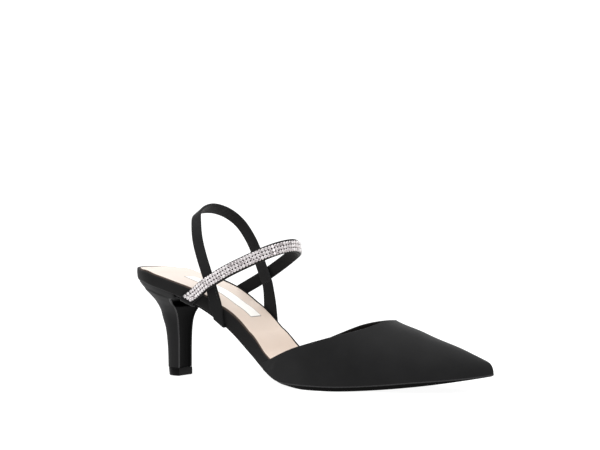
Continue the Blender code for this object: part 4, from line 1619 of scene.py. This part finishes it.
def makeTab(name, node, side, shares, row, nextRow):
    centres, widths = tabRun(side, shares, row, nextRow)
    thickness = straps["tabThickness"]
    piece = ribbonPiece(name, centres, widths, thickness, cloth["tab"], crown=straps["crown"])
    finishPiece(piece, "tab", node)
    normals, along = stripNormals(centres, widths)
    outward = normals * np.sign(normals[-1, 1] * side)
    seat = centres + outward * (thickness / 2 + stitches["lift"])
    run = lengthsAlong(centres)
    top = run[-1] - stitches["fromTop"]
    sewn = (run > top - stitches["length"]) & (run < top)
    guide = tuple(v[sewn] for v in (seat, unit(widths), outward, along))
    rowSizes = (stitches["pitch"], straps["tabWidth"] - 2 * stitches["margin"], 2, 0.0, stitches["seed"])
    finishPiece(setInRows(name + "Stitches", guide, unitStitch(), plain["threadBlack"], rowSizes), "tab")


def anklePath(width):
    sizes = (straps["ankleReach"], last["ballWidth"], straps["ankleFrontHeight"])
    centres, widths = freeRun(straps["ankle"], sizes, width)
    ends = []
    for side, anchor, joined in ((lateral, "lateralAnchor", 0), (medial, "medialAnchor", -1)):
        run, across = anchorRun(side, straps[anchor], width, straps["ankleThickness"], straps["wallEase"])
        ends.append((run, across * np.sign(across[-1] @ widths[joined])))
    (start, startWidths), (end, endWidths) = ends
    centres = np.vstack([start, centres, end[::-1]])
    widths = np.vstack([startWidths, widths, endWidths[::-1]])
    return evenRun(centres, widths, *straps["ankleEven"])


def makeAnkleStrap():
    centres, widths = anklePath(straps["ankleWidth"])
    piece = ribbonPiece("ankleStrap", centres, widths, straps["ankleThickness"], tape["ankleTape"])
    return finishPiece(piece, "ankle_elastic", "ankle_strap")


makeSling()
makeTab("lateralTab", "sling_tab_lateral", lateral, straps["lateralTab"], *straps["sling"][:2])
makeTab("medialTab", "sling_tab_medial", medial, straps["medialTab"], *straps["sling"][:-3:-1])
makeAnkleStrap()
print("straps made")


# Stones on the outside of the ankle strap

def makeStones():
    centres, widths = anklePath(stones["bandWidth"])
    normals, along = stripNormals(centres, widths)
    hidden = straps["tuck"] + (straps["wallEase"] + straps["ankleThickness"] / 2) * math.pi / 2
    run = lengthsAlong(centres)
    shown = (run > hidden + stones["startInset"]) & (run < run[-1] - hidden)
    thickness = stones["bandThickness"]
    rise = straps["ankleThickness"] / 2 + stones["bandGap"]
    centres, widths, normals, along = (v[shown] for v in (centres, widths, normals, along))
    band = ribbonPiece("stoneTape", centres, widths, thickness, plain["stoneTape"], rise + thickness / 2)
    finishPiece(band, "crystals")
    seat = centres + normals * (rise + thickness)
    guide = tuple(v[1:-1] for v in (seat, unit(widths), normals, along))
    for name, unitShape, finish, turn, nodes in (
        ("stoneCups", unitCup(), plain["cupMetal"], 0.0, ()),
        ("crystals", unitStone(), stoneGlass, stones["turn"], ("crystal_band",)),
    ):
        rowSizes = (stones["pitch"], stones["rowPitch"], stones["rows"], turn, stones["seed"])
        finishPiece(setInRows(name, guide, unitShape, finish, rowSizes), "crystals", *nodes)


makeStones()
print("stones set")


# Floor, light and camera
studio = {
    "floorSize": 3.0,
    "sweepStart": 0.9,
    "sweepRadius": 0.6,
    "sweepSteps": 16,
    "wallHeight": 1.6,
    "floorColour": (0.22, 0.22, 0.22),
    "floorRoughness": 0.9,
    "floorSpecular": 0.1,
    "floorGlow": 0.95,
    "worldSeen": 1.0,
    "worldLight": 0.22,
    "azimuth": 31.5,
    "elevation": 3.6,
    "distance": 0.965,
    "aim": (-0.0144, 0.0, 0.0386),
    "lens": 96.6,
    "sensor": 36.0,
    "clipStart": 0.01,
    "turnUp": 3.27,
    "turnRight": 0.49,
    # azimuth, elevation, distance, size, power
    "lights": {
        "topLight": (60, 74, 1.8, (3.0, 3.0), 64.0),
        "keyLight": (-50, 35, 1.6, (1.0, 1.0), 7.0),
        "edgeLight": (72, 12, 1.3, (0.15, 0.9), 1.4),
    },
}


def backVector(azimuth, elevation):
    a, e = math.radians(azimuth), math.radians(elevation)
    return Vector((math.sin(a) * math.cos(e), -math.cos(a) * math.cos(e), math.sin(e)))


def makeStage():
    away = -backVector(studio["azimuth"], 0)
    side = Vector((-away.y, away.x, 0))
    radius = studio["sweepRadius"]
    profile = [(-studio["floorSize"], 0.0), (studio["sweepStart"], 0.0)]
    for a in np.linspace(0, math.pi / 2, studio["sweepSteps"] + 1)[1:]:
        profile.append((studio["sweepStart"] + radius * math.sin(a), radius * (1 - math.cos(a))))
    profile.append((studio["sweepStart"] + radius, studio["wallHeight"]))
    verts, faces = [], []
    for along, up in profile:
        for across in (-studio["floorSize"], studio["floorSize"]):
            verts.append(away * along + side * across + Vector((0, 0, up)))
    for i in range(len(profile) - 1):
        faces.append((2 * i, 2 * i + 1, 2 * i + 3, 2 * i + 2))
    mesh = bpy.data.meshes.new("studioFloor")
    mesh.from_pydata([tuple(v) for v in verts], [], faces)
    mesh.shade_smooth()
    material, _, _ = blankMaterial(
        "studioFloor",
        studio["floorColour"],
        studio["floorRoughness"],
        {
            "Specular IOR Level": studio["floorSpecular"],
            "Emission Color": (1, 1, 1, 1),
            "Emission Strength": studio["floorGlow"],
        },
    )
    mesh.materials.append(material)
    floor = bpy.data.objects.new("studioFloor", mesh)
    bpy.context.scene.collection.objects.link(floor)


def softLight(name, azimuth, elevation, distance, size, power):
    data = bpy.data.lights.new(name, "AREA")
    data.shape = "RECTANGLE"
    data.size, data.size_y = size
    data.energy = power
    light = bpy.data.objects.new(name, data)
    aim = Vector(studio["aim"])
    back = backVector(azimuth, elevation)
    light.location = aim + back * distance
    light.rotation_euler = back.to_track_quat("Z", "Y").to_euler()
    bpy.context.scene.collection.objects.link(light)


def makeCamera():
    data = bpy.data.cameras.new("camera")
    data.sensor_width = studio["sensor"]
    data.lens = studio["lens"]
    data.clip_start = studio["clipStart"]
    camera = bpy.data.objects.new("camera", data)
    aim = Vector(studio["aim"])
    back = backVector(studio["azimuth"], studio["elevation"])
    facing = back.to_track_quat("Z", "Y").to_matrix().to_4x4()
    turn = Matrix.Rotation(math.radians(-studio["turnRight"]), 4, "Y")
    turn = turn @ Matrix.Rotation(math.radians(studio["turnUp"]), 4, "X")
    camera.matrix_world = Matrix.Translation(aim + back * studio["distance"]) @ facing @ turn
    bpy.context.scene.collection.objects.link(camera)
    bpy.context.scene.camera = camera


def makeWorld():
    world = bpy.data.worlds.new("studio")
    bpy.context.scene.world = world
    world.use_nodes = True
    tree = world.node_tree
    background = tree.nodes["Background"]
    background.inputs["Color"].default_value = (1, 1, 1, 1)
    path = tree.nodes.new("ShaderNodeLightPath")
    strength = spreadValue(tree, path.outputs["Is Camera Ray"], studio["worldLight"], studio["worldSeen"])
    tree.links.new(strength, background.inputs["Strength"])
    bpy.context.scene.view_settings.view_transform = "Standard"


makeStage()
makeCamera()
makeWorld()
for lightName, lightSizes in studio["lights"].items():
    softLight(lightName, *lightSizes)
print("studio made")
